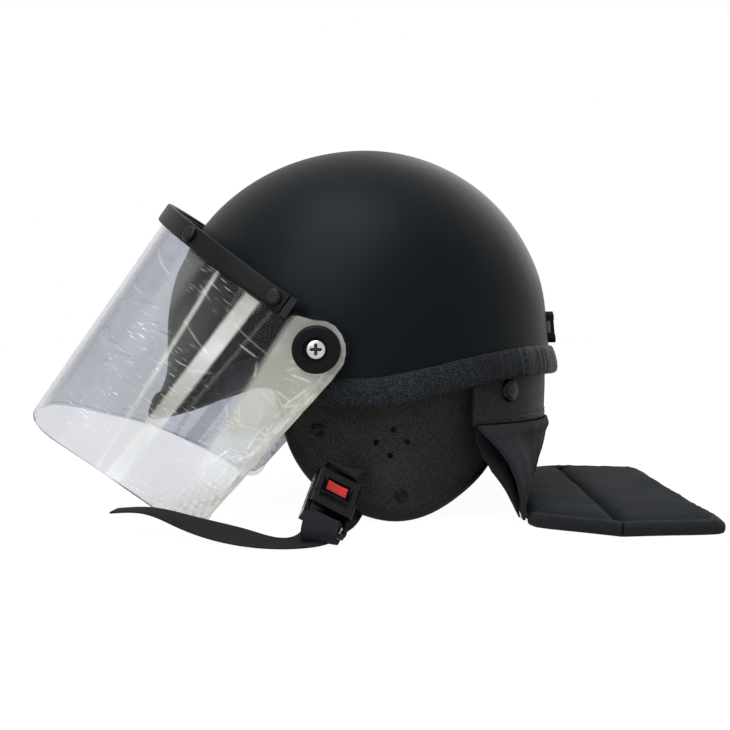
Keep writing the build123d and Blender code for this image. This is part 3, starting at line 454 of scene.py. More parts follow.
# Comfort pads: five cloth-covered foam pads stuck to the liner, each crowned towards the head
# and drawn in at its sewn edge.
def pillow(place_at, across, along, roundness=0.12, fullness=4.0):
    """A closed pad from two crowned sheets that meet at a seam. place_at takes u and v from -1 to 1
    and a depth from 0 at the back to 1 at the crown; the corners are rounded by the oval map."""
    u = np.sin(np.linspace(-pi / 2, pi / 2, across))
    v = np.sin(np.linspace(-pi / 2, pi / 2, along))
    ring_u = np.concatenate([u, u[-2:0:-1]])
    face = np.concatenate([np.ones(across), np.zeros(across - 2)])
    grid_u, grid_v = np.meshgrid(ring_u, v, indexing="ij")
    crown = ((1 - np.abs(grid_u) ** fullness) * (1 - np.abs(grid_v) ** fullness)).clip(0) ** 0.5
    oval_u = grid_u * np.sqrt(1 - roundness * grid_v ** 2)
    oval_v = grid_v * np.sqrt(1 - roundness * grid_u ** 2)
    return place_at(oval_u, oval_v, crown, face[:, None] > 0.5)


pad_cloth, pad_tree, pad_shader = finish_called(
    "brushed_pad_cloth", (0.012, 0.012, 0.013), 0.9, sheen_weight=0.06,
)
pad_nap = mottled(pad_tree, patch_scale=40.0, grain_scale=1400.0).outputs["Grain"]
pad_tree.links.new(
    colours(pad_tree, pad_nap, (0.005, 0.005, 0.0055), (0.016, 0.016, 0.018)),
    pad_shader.inputs["Base Color"],
)
raised(pad_tree, pad_shader, pad_nap, strength=0.5, distance=0.0004)
pad_back, pad_depth = 22.6, 8.4
pad_seam_share, pad_face_share, pad_back_share = 0.35, 0.65, -0.33
crown_cushion_radius = 47.0


def pad_sink(crown, inside):
    """How deep under the paint a place of a pad lies: the seam's depth, plus the crown times the
    face's share of the pad towards the head, or the back's smaller share towards the liner."""
    return pad_back + pad_depth * pad_seam_share \
        + np.where(inside, pad_face_share, pad_back_share) * pad_depth * crown


def dome_inside(turn, height, depth):
    """A place inside the dome, an oval whose half-widths and rise are less by the depth in from
    the paint. turn is the angle from straight ahead."""
    level = np.clip((height - dome_centre) / (dome_rise - depth), -0.2, 0.999)
    spread = np.sqrt(1 - level ** 2)
    reach = np.where(np.cos(turn) > 0, shell_front, shell_rear) - depth
    width = shell_half_width - depth
    return np.stack([width * spread * np.sin(turn), -reach * spread * np.cos(turn), height + 0 * turn], -1)


for cushion, node_name, turn_middle, turn_half, low, high in (
    ("brow_cushion", "brow_pad", 0.0, 38.0, 110.8, 145.2),
    ("nape_cushion", "rear_pad", 180.0, 35.5, 110.8, 145.2),
    ("side_cushion_left", "side_pad_left", 90.0, 20.0, 134.8, 167.2),
    ("side_cushion_right", "side_pad_right", 270.0, 20.0, 134.8, 167.2),
):
    def pad_place(u, v, crown, inside):
        """A pad on the dome's inside: u turns it and v raises it from its middle."""
        turn = radians(turn_middle) + radians(turn_half) * u
        height = (low + high) / 2 + (high - low) / 2 * v
        return dome_inside(turn, height, pad_sink(crown, inside))
    made = put(
        make_mesh(cushion, pillow(pad_place, 30, 20), closed_rows=True, closed_columns=False),
        pad_cloth, "helmet", "pad_cloth", node_name,
    )


def crown_place(u, v, crown, inside):
    """The round pad at the top: a disc laid on the dome's inside, whose height is the rise times
    the root of one less the squares of x and y over their half-widths."""
    x, y = crown_cushion_radius * u, crown_cushion_radius * v
    depth = pad_sink(crown, inside)
    reach = np.where(y < 0, shell_front, shell_rear) - depth
    spread = (x / (shell_half_width - depth)) ** 2 + (y / reach) ** 2
    return np.stack([x, y, dome_centre + (dome_rise - depth) * np.sqrt(1 - spread)], -1)


crown_cushion = put(
    make_mesh(
        "crown_cushion", pillow(crown_place, 30, 30, roundness=0.5), closed_rows=True, closed_columns=False,
    ),
    pad_cloth, "helmet", "pad_cloth", "crown_pad",
)


# Pivot stacks: on each side a moulded base, washers, a round knob and a bright cross-head screw that
# clamps them. All but the screw stay as CAD solids; its head is turned, with a pressed cross whose
# hollow is darkened with painted shade.
black_moulding = mottled_finish(
    "black_moulding", (0.0018, 0.0020, 0.0024), (0.0036, 0.0040, 0.0048), rough=(0.32, 0.44),
    scales=(25.0, 1800.0), relief=(0.15, 0.0001), specular_ior_level=0.09,
)
dull_plate = mottled_finish(
    "dull_plated_steel", (0.40, 0.40, 0.41), (0.58, 0.58, 0.59), rough=(0.32, 0.5),
    scales=(120.0, 900.0), relief=(0.2, 0.0001), metallic=1.0,
)
black_rubber = mottled_finish(
    "moulded_rubber", (0.005, 0.005, 0.0055), (0.010, 0.010, 0.011), rough=(0.6, 0.75),
    scales=(50.0, 900.0), relief=(0.3, 0.0002), specular_ior_level=0.2,
)


def spots_of(mesh):
    """A mesh's corners in millimetres."""
    spots = np.empty(3 * len(mesh.vertices))
    mesh.vertices.foreach_get("co", spots)
    return spots.reshape(-1, 3) / MM


def write_mask(mesh, name, values):
    """Gives a mesh a named mask with a value for each of its corners."""
    mesh.attributes.new(name, "FLOAT", "POINT").data.foreach_set("value", values)


def read_mask(tree, name):
    """A material's own socket for a mask that its mesh carries."""
    return add_node(tree, "ShaderNodeAttribute", attribute_name=name).outputs["Fac"]


screw_finish, screw_tree, screw_shader = finish_called("cross_head_plate", (0.6, 0.6, 0.6), 0.2, metallic=1.0)
# The sunk cross of the screw's head is painted near black: painted shade in the recess
screw_tree.links.new(
    colours(screw_tree, read_mask(screw_tree, "recess_shade"), (0.50, 0.52, 0.54), (0.035, 0.037, 0.04)),
    screw_shader.inputs["Base Color"],
)
screw_wear = mottled(screw_tree, patch_scale=260.0, grain_scale=900.0).outputs["Patch"]
screw_tree.links.new(between(screw_tree, screw_wear, 0.14, 0.34), screw_shader.inputs["Roughness"])
screw_spots = spots_of(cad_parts["pivot_screw_left"].data)
screw_low, screw_high = screw_spots.min(0), screw_spots.max(0)
screw_length = screw_high[0] - screw_low[0]
screw_middle = (screw_low + screw_high) / 2
face_radius, face_fall = 5.0, 0.55
recess_depth, recess_radius = 1.4, 4.6
arm_half, arm_slope, arm_reach, end_slope = 0.75, 0.4, 3.2, 0.8
screw_face = np.linspace(0.001, face_radius, 34)
screw_radius = np.concatenate([screw_face, [5.5, 5.85, 6.0, 6.0, 2.5, 2.5, 0.001]])
screw_drop = np.concatenate([
    face_fall * (screw_face / face_radius) ** 2, [0.8, 1.15, 1.7, 2.3, 2.3, screw_length, screw_length],
])
screw_turn = np.linspace(0, 2 * pi, 96, endpoint=False)[:, None]
screw_y, screw_z = screw_radius * np.cos(screw_turn), screw_radius * np.sin(screw_turn)
arm_y, arm_z = (np.clip((arm_half - np.abs(off)) / arm_slope + 0.5, 0, 1) for off in (screw_y, screw_z))
end_y, end_z = (np.clip((arm_reach - np.abs(off)) / end_slope + 0.5, 0, 1) for off in (screw_y, screw_z))
cross_recess = np.maximum(arm_y * end_z, arm_z * end_y) * (screw_drop < 2.0)
for side, side_name in ((1, "left"), (-1, "right")):
    screw_places = np.stack([
        side * (screw_high[0] - screw_drop - recess_depth * cross_recess),
        screw_middle[1] + screw_y, screw_middle[2] + screw_z,
    ], -1)
    screw_mesh = make_mesh(
        f"pivot_bolt_{side_name}", screw_places, closed_rows=True, closed_columns=False, sharp=40.0,
    )
    # Mask of the sunk cross, which carries the painted shade of the recess
    spots = spots_of(screw_mesh)
    sunk = np.interp(side * spots[:, 0], [screw_high[0] - 1.5, screw_high[0] - 0.7], [1.0, 0.0])
    on_face = np.hypot(spots[:, 1] - screw_middle[1], spots[:, 2] - screw_middle[2]) < recess_radius
    write_mask(screw_mesh, "recess_shade", sunk * on_face)
    put(screw_mesh, screw_finish, "helmet", "bright_screw", f"pivot_screw_{side_name}")
for side in ("left", "right"):
    dress(black_moulding, f"pivot_base_{side}", f"pivot_knob_{side}")
    dress(dull_plate, f"pivot_insert_{side}", f"spring_washer_{side}", f"strap_anchor_{side}")
    dress(black_rubber, f"friction_washer_{side}")


# Visor sheet: clear polycarbonate bent to a front arc, two flatter sides and straight ears.
# The CAD solid has its outline and holes, so it stays and gets the glassy finish.
clear_sheet, clear_tree, clear_shader = finish_called(
    "clear_polycarbonate", (0.64, 0.65, 0.69), 0.01, transmission_weight=1.0, ior=1.15,
)
clear_haze = mottled(clear_tree, patch_scale=9.0, grain_scale=120.0).outputs["Patch"]
clear_tree.links.new(
    colours(clear_tree, clear_haze, (0.60, 0.612, 0.652), (0.68, 0.692, 0.735)),
    clear_shader.inputs["Base Color"],
)
clear_tree.links.new(between(clear_tree, clear_haze, 0.0, 0.012), clear_shader.inputs["Roughness"])
dress(clear_sheet, "visor_sheet")

visor_top = np.array([0, -136.0, 195.0])
visor_tilt = radians(90 - 35.3)
visor_down = np.array([0, -cos(visor_tilt), -sin(visor_tilt)])
visor_back = np.array([0, sin(visor_tilt), -cos(visor_tilt)])
front_radius, side_radius, front_half_angle = 122.0, 153.0, radians(65.0)
side_centre_x = -(side_radius - front_radius) * sin(front_half_angle)
side_centre_back = front_radius + (side_radius - front_radius) * cos(front_half_angle)
front_run = front_radius * front_half_angle
side_run = side_radius * (pi / 2 - front_half_angle)


def visor_place(run, out, down):
    """A place on the bent sheet: run is the length round it from the middle, out is square to it
    and down is along it. It follows a front arc, then a flatter side arc, then a straight ear."""
    length = np.abs(run)
    on_side = length > front_run
    on_ear = length > front_run + side_run
    turn = np.where(on_side, front_half_angle + (length - front_run) / side_radius, length / front_radius)
    turn = np.where(on_ear, pi / 2, turn)
    radius = np.where(on_side, side_radius, front_radius) + out
    x = np.where(on_side, side_centre_x, 0) + radius * np.sin(turn)
    back = np.where(on_side, side_centre_back, front_radius) - radius * np.cos(turn)
    back = back + np.where(on_ear, length - front_run - side_run, 0)
    x = x * np.sign(run + 1e-9)
    return visor_top + x[..., None] * [1, 0, 0] + back[..., None] * visor_back + down[..., None] * visor_down


def visor_back_of(run):
    """How far back a place round the sheet lies: its place along the sheet's backward direction."""
    flat = visor_place(np.abs(run), 0 * run, 0 * run) - visor_top
    return flat @ visor_back


# Protective film: the loose plastic skin left on the visor's outside, cut round its outline and
# crinkled in transit. It is finely scratched and crumpled by the rear edge and ear, and carries painted
# reflection: pale milky bands and dark streaks down the front.
ear_end, pivot_back = 160.3, 142.5
ear_start = front_run + side_run - side_centre_back
pivot_run, pivot_down = ear_start + pivot_back, 6.5
film_rows, film_columns = 460, 210
film_reach = ear_start + ear_end
film_low_line = [
    (0.0, 157.0), (20.4, 155.1), (50.2, 148.1), (100.5, 141.0), (130.3, 139.6), (138.0, 137.8),
    (143.5, 133.5), (147.2, 125.0), (150.5, 100.0), (155.6, 56.0), (160.6, 14.0),
]
film_high_line = [
    (0.0, 3.2), (60.0, 3.2), (111.0, 3.2), (116.0, 2.6), (118.8, -1.5), (123.0, -4.0), (131.0, -6.8),
    (137.6, -10.6), (143.0, -11.4), (149.0, -9.6), (154.5, -6.0), (158.0, -1.5), (160.6, 5.0),
]
film_low_inset, film_high_inset = 0.9, 0.4
film_crowding = 0.35
film_u = np.linspace(-1, 1, film_rows)[:, None] * np.ones((1, film_columns))
film_u = film_u * (1 + film_crowding - film_crowding * film_u ** 2)
film_v = np.linspace(0, 1, film_columns)[None] * np.ones((film_rows, 1))
film_run = film_reach * film_u
film_back = visor_back_of(film_run)
film_low = np.interp(film_back, *np.transpose(film_low_line)) - film_low_inset
film_high = np.interp(film_back, *np.transpose(film_high_line)) + film_high_inset
film_down = film_high + (film_low - film_high) * film_v
from_pivot = np.hypot(np.abs(film_run) - pivot_run, film_down - pivot_down)
from_edge = film_low - film_down
rear_edge_line = ([6.5, 121.7, 157.0], [161.5, 148.0, 100.0])
rear_fade, corner_back, corner_spread, corner_fade = 13.0, 118, 1500, 16.0
from_rear = np.abs(film_back - np.interp(film_down, *rear_edge_line))
crumpled_rear = np.exp(-from_rear / rear_fade)
crumpled_corner = np.exp(-(film_back - corner_back) ** 2 / corner_spread - from_edge / corner_fade)
crumple = np.clip(crumpled_rear + crumpled_corner, 0, 1)

# Creases: most are short, near an ear's end and turned any way, and the rest long and nearly level.
# Each is a ridge that falls off with the square of the distance beside it and beyond its ends
crease_count, share_by_edge, crease_end = 230, 0.75, 1.5
film_rng = np.random.default_rng(11)
film_crease = np.zeros_like(film_run)
for _ in range(crease_count):
    by_edge = film_rng.uniform() < share_by_edge
    side = np.sign(film_rng.uniform(-1, 1))
    start_down = film_rng.uniform(10, 138)
    start_run = side * (film_reach - film_rng.exponential(14.0)) if by_edge else film_rng.uniform(-220, 220)
    heading = film_rng.normal(0.2 if by_edge else 0.05, 1.0 if by_edge else 0.25)
    length = film_rng.uniform(3, 14) if by_edge else film_rng.uniform(6, 34)
    step = np.array([cos(heading) * side, sin(heading)])
    off = np.stack([film_run - start_run, film_down - start_down], -1)
    along = off @ step
    beside = off @ np.array([-step[1], step[0]]) + film_rng.uniform(-0.01, 0.01) * along ** 2
    beyond = np.maximum(np.abs(along) - length / 2, 0)
    width = film_rng.uniform(0.35, 0.55)
    height = film_rng.uniform(0.35, 1.0) * (1.0 if by_edge else 0.6)
    ridge = height * np.exp(-(beside / width) ** 2 - (beyond / crease_end) ** 2)
    film_crease = np.maximum(film_crease, ridge)

# Painted reflection, partly milky lifted film: crisp pale bands down the near side and a soft one in
# front stand in for the lamps' reflection on the sheet. Each band has its start, end, lean, softness
# and strength, and fades below the middle
band_middle, fade_middle, fade_reach = 70.0, 35.0, 75.0
# Pale bands of painted reflection, partly milky film, gathered into one mask
film_milk_and_reflection = np.zeros_like(film_run)
for band_start, band_end, band_lean, band_soft, band_strength in (
    (84.0, 96.5, 0.05, 2.0, 0.62), (68.0, 72.5, -0.06, 1.5, 0.45), (100.0, 103.0, 0.10, 2.5, 0.20),
    (36.0, 58.0, 0.0, 6.0, 0.10), (121.0, 170.0, -0.05, 4.0, 0.50),
):
    across_band = film_back + band_lean * (film_down - band_middle)
    rise = np.clip((across_band - band_start) / band_soft, 0, 1) \
        * np.clip((band_end - across_band) / band_soft, 0, 1)
    fade = 0.45 + 0.55 * np.exp(-((film_down - fade_middle) / fade_reach) ** 2)
    film_milk_and_reflection = np.maximum(film_milk_and_reflection, band_strength * rise * fade)

# The film lies a gap over the sheet, and lifts with slow slack, buckles and creases, except round
# the pivot, where the knob holds it down
film_gap, slack_lift, buckle_lift, crease_lift = 1.36, 0.25, 0.55, 0.35
held_radius, held_slope, hole_radius, hole_side = 14.6, 3.0, 6.6, 120.0
film_slack = 0.5 + 0.5 * ripple(film_run + 0.6 * film_down, seed=21, waves=6, longest=60, shortest=18) \
    * ripple(film_down - 0.4 * film_run, seed=22, waves=6, longest=50, shortest=16)
film_buckle = crumple * (
    0.5 + 0.5 * ripple(film_run + 0.9 * film_down, seed=23, waves=7, longest=14, shortest=4)
    * ripple(film_down - film_run, seed=24, waves=7, longest=12, shortest=4)
)
film_loose = np.clip((from_pivot - held_radius) / held_slope, 0, 1)
film_out = film_gap + film_loose * (
    slack_lift * film_slack.clip(0) + buckle_lift * film_buckle.clip(0) + crease_lift * film_crease
)
film_mesh = make_mesh(
    "visor_film", visor_place(film_run, film_out, film_down), closed_columns=False, capped=False, sharp=180.0,
)

# Masks of where the film looks different: the middle of the front, which takes a painted dark
# reflection, the sides, the cut border, and the upper rear, which is warmer in tone
front_half, plain_half, plain_share, border_width = 16.0, 75.0, 0.8, 0.9
warm_back, warm_back_slope, warm_down, warm_down_slope = 112, 14, 95, 45
film_front = np.exp(-(film_run / front_half) ** 2)
film_sides = 1 - plain_share * np.exp(-(film_run / plain_half) ** 4)
film_border = np.maximum(
    np.exp(-(from_edge / border_width) ** 2), np.exp(-(film_reach * (1 - np.abs(film_u)) / border_width) ** 2)
)
film_warm = np.clip((film_back - warm_back) / warm_back_slope, 0, 1) \
    * np.clip((warm_down - film_down) / warm_down_slope, 0, 1)
for mask_name, mask in (
    ("crease", film_crease), ("crumple", crumple), ("milk_and_reflection", film_milk_and_reflection), ("front", film_front),
    ("border", film_border), ("warm", film_warm), ("sides", film_sides),
):
    write_mask(film_mesh, mask_name, mask.ravel())
film_spots = spots_of(film_mesh)
pivot_spot = visor_place(np.array(pivot_run), 0.0, np.array(pivot_down))
in_hole = (np.abs(film_spots[:, 0]) > hole_side) & (
    np.hypot(film_spots[:, 1] - pivot_spot[1], film_spots[:, 2] - pivot_spot[2]) < hole_radius
)
film_cut = bmesh.new()
film_cut.from_mesh(film_mesh)
film_cut.verts.ensure_lookup_table()
bmesh.ops.delete(film_cut, geom=[film_cut.verts[k] for k in np.flatnonzero(in_hole)], context="VERTS")
film_cut.to_mesh(film_mesh)
film_cut.free()
film_finish, film_tree, film_shader = finish_called(
    "scuffed_film", (0.85, 0.87, 0.88), 0.25, specular_ior_level=0.08,
)
film_where = add_node(film_tree, "ShaderNodeTexCoord").outputs["UV"]
crease_mask, crumple_mask, milk_and_reflection_mask, front_mask, border_mask, warm_mask, sides_mask = (
    read_mask(film_tree, name) for name in ("crease", "crumple", "milk_and_reflection", "front", "border", "warm", "sides")
)


def film_mask(source, low, high, top):
    """Turns a pattern above a threshold into a mask that rises to a top value."""
    return add_node(film_tree, "ShaderNodeMapRange", {
        "Value": source, "From Min": low, "From Max": high, "To Min": 0.0, "To Max": top,
    }).outputs["Result"]


def film_sum(one, *others):
    """Adds masks one after another."""
    for other in others:
        one = worked_out(film_tree, "ADD", one, other)
    return one


def film_product(one, *others):
    """Multiplies masks one after another."""
    for other in others:
        one = worked_out(film_tree, "MULTIPLY", one, other)
    return one


def film_noise(scale, turn, detail, seed):
    """Noise over the film's own lengths in millimetres, stretched and turned."""
    placed = add_node(film_tree, "ShaderNodeMapping", {
        "Vector": film_where, "Scale": (*scale, 1.0), "Rotation": (0, 0, turn), "Location": (seed, seed, 0),
    })
    return add_node(film_tree, "ShaderNodeTexNoise", {
        "Vector": placed.outputs["Vector"], "Scale": 1.0, "Detail": detail,
    }).outputs["Fac"]


# Pale marks let the film show: dashes and hair scratches in patches, a net of creases where it is
# crumpled, faint broad diagonal bands of painted reflection, and the milky bands, partly painted reflection
film_dashes = film_mask(film_noise((0.075, 1.7), 0.05, 1.0, 3.0), 0.66, 0.72, 0.9)
film_hairs = film_mask(film_noise((0.018, 1.3), -0.35, 1.0, 9.0), 0.705, 0.74, 0.4)
film_patch = film_mask(film_noise((0.016, 0.02), 0.0, 2.0, 5.0), 0.40, 0.58, 1.0)
film_scratches = film_product(film_sum(film_dashes, film_hairs), film_patch, sides_mask)
film_cells = add_node(film_tree, "ShaderNodeTexVoronoi", {
    "Vector": film_where, "Scale": 0.23, "Randomness": 1.0,
}, feature="DISTANCE_TO_EDGE")
film_net = film_product(
    film_mask(film_cells.outputs["Distance"], 0.075, 0.0, 0.75), film_mask(crumple_mask, 0.25, 0.95, 1.0),
    film_mask(film_noise((0.12, 0.12), 0.0, 2.0, 1.0), 0.42, 0.6, 1.0),
)
# Faint broad diagonal bands: painted reflection of the lamps on the film
film_reflection_bands = film_mask(film_noise((0.011, 0.0045), 0.45, 1.0, 2.0), 0.47, 0.60, 0.07)
film_pale = film_sum(
    film_product(crease_mask, 0.6), film_scratches, film_net, film_mask(crumple_mask, 0.1, 1.0, 0.20),
    film_sum(film_reflection_bands, milk_and_reflection_mask),
)

# Dark marks: a painted dark reflection down the middle of the front, in upright streaks over an even
# share, and the cut border. A faint trace of the film shows all over
# Upright dark streaks at the front: painted reflection of dark surroundings on the sheet
film_dark_reflection = film_mask(film_noise((0.9, 0.014), 0.12, 1.0, 7.0), 0.58, 0.72, 0.40)
film_dark = worked_out(
    film_tree, "ADD", film_product(film_sum(film_dark_reflection, 0.30), front_mask), film_product(border_mask, 0.42),
    clamp=True,
)
film_solid = worked_out(film_tree, "ADD", film_pale, film_sum(film_dark, 0.015), clamp=True)
film_tree.links.new(film_solid, film_shader.inputs["Alpha"])
film_tone = worked_out(
    film_tree, "SUBTRACT", film_noise((0.02, 0.02), 0.0, 3.0, 4.0), film_product(warm_mask, 0.22)
)
# The film's colour goes dark under the dark marks: painted dark reflection at the front, and the cut border
film_colour = add_node(film_tree, "ShaderNodeMix", {
    0: film_dark, 6: colours(film_tree, film_tone, (0.50, 0.51, 0.44), (0.86, 0.88, 0.92)),
    7: (0.02, 0.022, 0.03, 1),
}, data_type="RGBA")
film_tree.links.new(film_colour.outputs[2], film_shader.inputs["Base Color"])
raised(film_tree, film_shader, film_scratches, strength=0.3, distance=0.0004)
put(film_mesh, film_finish, "visor", "clear_sheet")


# Brow bar: a moulded bar with softened edges that follows the visor's top edge, screwed through it,
# with a rubber end piece on each end and a sponge seal behind the sheet.
bar_high, bar_low, bar_inner, bar_outer = -10.5, 2.5, 1.25, 5.75
bar_past_front, bar_square = 44.0, 0.32
bar_steps, bar_facets = 181, 32


def rounded(across, along, facets, across_power=1.0, along_power=1.0):
    """A closed profile of two half-widths: the cosine and sine of a turn, each kept in sign and
    raised to a power, which squares the round off as it falls from one."""
    turn = np.linspace(0, 2 * pi, facets, endpoint=False)
    return np.stack([
        np.sign(wave) * np.abs(wave) ** power * half
        for wave, power, half in ((np.cos(turn), across_power, across), (np.sin(turn), along_power, along))
    ], -1)


bar_profile = rounded(
    (bar_outer - bar_inner) / 2, (bar_low - bar_high) / 2, bar_facets, bar_square, bar_square
) + [(bar_inner + bar_outer) / 2, (bar_high + bar_low) / 2]
bar_run = np.linspace(-1, 1, bar_steps) * (front_run + bar_past_front)
bar_ones = np.ones((bar_steps, bar_facets))
bar_places = visor_place(
    bar_run[:, None] * bar_ones, bar_profile[:, 0] * bar_ones, bar_profile[:, 1] * bar_ones
)
bar_finish = mottled_finish(
    "satin_black_bar", (0.0022, 0.0024, 0.0028), (0.0048, 0.0052, 0.0060), rough=(0.34, 0.46),
    scales=(20.0, 1300.0), relief=(0.25, 0.0002), specular_ior_level=0.09,
)
put(make_mesh("brow_bar", bar_places, sharp=40.0), bar_finish, "visor", "black_plastic", "visor_bar")
dress(black_rubber, "bar_end_pieces", "visor_seal")
black_screw = mottled_finish(
    "black_screw", (0.0012, 0.0013, 0.0016), (0.0032, 0.0034, 0.0040), rough=(0.20, 0.32),
    scales=(60.0, 900.0), relief=(0.2, 0.0001), specular_ior_level=0.14,
)
dress(black_screw, "bar_screws")
dress(dull_plate, "bar_nuts")


# Ear flaps: stiff grained leatherette cut to a shield shape, toed in towards the table, with four
# round listening holes. A tape is folded over the edge and sewn, and a padded lining backs each flap.
flap_top_height = 103.7
flap_lowest = 1.1
flap_start_back, flap_length = -57.0, 145.0
flap_shares = np.array([
    (0.0, 1.0), (0.045, 0.73), (0.105, 0.42), (0.16, 0.29), (0.27, 0.145), (0.40, 0.047), (0.55, 0.0),
    (0.69, 0.034), (0.81, 0.125), (0.925, 0.262), (0.99, 0.42), (1.0, 0.62), (1.0, 1.0),
])
flap_edge = through(flap_shares * [flap_length, flap_top_height] + [flap_start_back, 0], 150)
flap_edge[:, 1] = flap_lowest + flap_edge[:, 1] * (1 - flap_lowest / flap_top_height)
flap_wall_thickness = 3.0
flap_foot_width, flap_spread = 94.5, 15.5
flap_front_reach, flap_front_spread = 112.0, 20.0
flap_rear_reach, flap_rear_spread = 103.0, 17.5


def unit(vectors):
    """Vectors scaled to length one."""
    return vectors / np.maximum(np.linalg.norm(vectors, axis=-1, keepdims=True), 1e-9)


def flap_place(back, height, out=0.0):
    """The flap's outside, an oval wall wider at the top than at the table, and a normal offset."""
    up = (height + 1.0) / (flap_top_height + 1.0)
    width = flap_foot_width + flap_spread * up
    reach = np.where(
        back < 0, flap_front_reach + flap_front_spread * up, flap_rear_reach + flap_rear_spread * up
    )
    x = width * np.sqrt(1 - (back / reach) ** 2)
    normal = unit(np.stack([x / width ** 2, back / reach ** 2, 0 * x - 0.15 * x / width ** 2], -1))
    return np.stack([x, back + 0 * x, height + 0 * x], -1) + normal * np.asarray(out)[..., None]


def edge_inward(edge):
    """The inward direction along an outline that runs from front top, underneath, to rear top."""
    run = unit(np.gradient(edge, axis=0))
    return np.stack([-run[:, 1], run[:, 0]], -1)


def flap_sheet(inset, outs, rings=26, lid_steps=50, lid_gap=0.6, middle=(16.0, 58.0)):
    """A closed sheet over the flap's outline: rings from a middle point out to the edge and back.
    outs gives the offset of the outer and inner face, each from the share of the way to the edge."""
    rim = flap_edge + edge_inward(flap_edge) * inset
    top = flap_top_height - lid_gap
    lid = np.linspace(rim[-1, 0], rim[0, 0], lid_steps)[1:-1]
    loop = np.concatenate([np.minimum(rim, [np.inf, top]), np.stack([lid, np.full_like(lid, top)], -1)])
    share = np.linspace(0, 1, rings) ** 0.8
    plan = middle + share[:, None, None] * (loop[None] - middle)
    outer, inner = (flap_place(plan[..., 0], plan[..., 1], out(plan, share[:, None])) for out in outs)
    return np.concatenate([outer, inner[::-1]])


def mirrored(places, side):
    """The same places on the left for 1 and on the right for -1."""
    return places * [side, 1, 1]


def bored(target, cutters):
    """Cuts round holes through a piece with closed cutting meshes, and applies the cut."""
    for cutter in cutters:
        bpy.context.scene.collection.objects.link(cutter)
        cut = target.modifiers.new("bore", "BOOLEAN")
        cut.operation = "DIFFERENCE"
        cut.solver = "EXACT"
        cut.object = cutter
    bpy.context.view_layer.update()
    made = bpy.data.meshes.new_from_object(target.evaluated_get(bpy.context.evaluated_depsgraph_get()))
    target.modifiers.clear()
    target.data = made
    for cutter in cutters:
        bpy.data.objects.remove(cutter)


leatherette = grained_finish(
    "grained_leatherette", (0.009, 0.0098, 0.0085), (0.027, 0.0285, 0.0245), rough=(0.50, 0.62),
    cells=1250.0, relief=(0.9, 0.0006), specular_ior_level=0.12,
)
edge_tape = grained_finish(
    "folded_edge_tape", (0.0016, 0.0019, 0.0026), (0.006, 0.0072, 0.0092), rough=(0.32, 0.46),
    cells=1500.0, relief=(0.4, 0.0003), specular_ior_level=0.16,
)
thread_black = mottled_finish(
    "black_thread", (0.004, 0.0045, 0.0055), (0.011, 0.012, 0.014), rough=(0.6, 0.75),
    scales=(60.0, 2000.0), relief=(0.3, 0.0001), specular_ior_level=0.2,
)
vent_spots = [(21.2, 58.3), (10.7, 50.4), (29.6, 50.4), (19.3, 42.1)]
vent_radius = 1.8
tape_profile = np.array([
    (5.2, 0.12), (4.8, 0.75), (3.0, 1.05), (1.0, 0.95), (-0.3, 0.5), (-0.95, -0.5), (-1.05, -1.6),
    (-0.8, -2.8), (-0.1, -3.7), (1.2, -4.0), (3.2, -3.95), (4.9, -3.8), (5.2, -3.12), (2.5, -3.1),
    (0.15, -3.1), (0.12, -1.5), (0.15, 0.1), (2.5, 0.1),
])
rivet_spots = [(-25.4, 57.7), (25.8, 16.8)]
table_gap = 0.15
seam_inset, seam_out = 3.7, 1.0


def stitched(path, outward, along_step=4.2, stitch_length=3.0, radius=0.32, lift=0.15, sunk=0.1):
    """Thread stitches: short bent capsules laid end to end along a path, each lifted in its middle
    by one less the square of the way to its end, and sunk a little at both ends."""
    facets, girths = 6, np.array([0.45, 0.9, 1.0, 0.9, 0.45])
    steps = np.linalg.norm(np.diff(path, axis=0), axis=1)
    reach = np.concatenate([[0], np.cumsum(steps)])
    count = int(reach[-1] / along_step)
    starts = (np.arange(count) + 0.5) * reach[-1] / count
    shares = np.linspace(-0.5, 0.5, len(girths))
    at = starts[:, None] + shares[None] * stitch_length
    at = np.clip(at, 0, reach[-1])
    place = np.stack([np.interp(at, reach, path[:, k]) for k in range(3)], -1)
    out = unit(np.stack([np.interp(at, reach, outward[:, k]) for k in range(3)], -1))
    place = place + out * (lift * (1 - (2 * shares[None]) ** 2) - sunk)[..., None]
    run = unit(place[:, -1:] - place[:, :1])
    side = np.cross(run, out)
    girth = radius * girths[None, :, None, None]
    turn = np.linspace(0, 2 * pi, facets, endpoint=False)[None, None, :, None]
    rings = place[:, :, None] + girth * (
        np.cos(turn) * side[:, :, None] + np.sin(turn) * out[:, :, None]
    )
    ring = np.arange(facets)
    next_ring = (ring + 1) % facets
    last = (len(girths) - 1) * facets
    first = np.arange(count)[:, None] * len(girths) * facets
    base = first[:, :, None] + np.arange(0, last, facets)[None, :, None]
    walls = np.stack([base + ring, base + next_ring, base + facets + next_ring, base + facets + ring], -1)
    ends = first + np.concatenate([ring[::-1][None], last + ring[None]])[:, None]
    return rings.reshape(-1, 3), walls.reshape(-1, 4).tolist() + ends.reshape(-1, facets).tolist()


def put_stitches(name, runs, body, slot):
    """One piece of all the stitches along several runs, each a path and its outward directions."""
    places, faces, start = [], [], 0
    for path, outward in runs:
        spots, ring_faces = stitched(path, outward)
        places.append(spots)
        faces += [[start + k for k in face] for face in ring_faces]
        start += len(spots)
    mesh = bpy.data.meshes.new(name)
    mesh.from_pydata((np.concatenate(places) * MM).tolist(), [], faces)
    work = bmesh.new()
    work.from_mesh(mesh)
    bmesh.ops.recalc_face_normals(work, faces=work.faces)
    work.to_mesh(mesh)
    work.free()
    mesh.shade_smooth()
    return put(mesh, thread_black, body, slot)


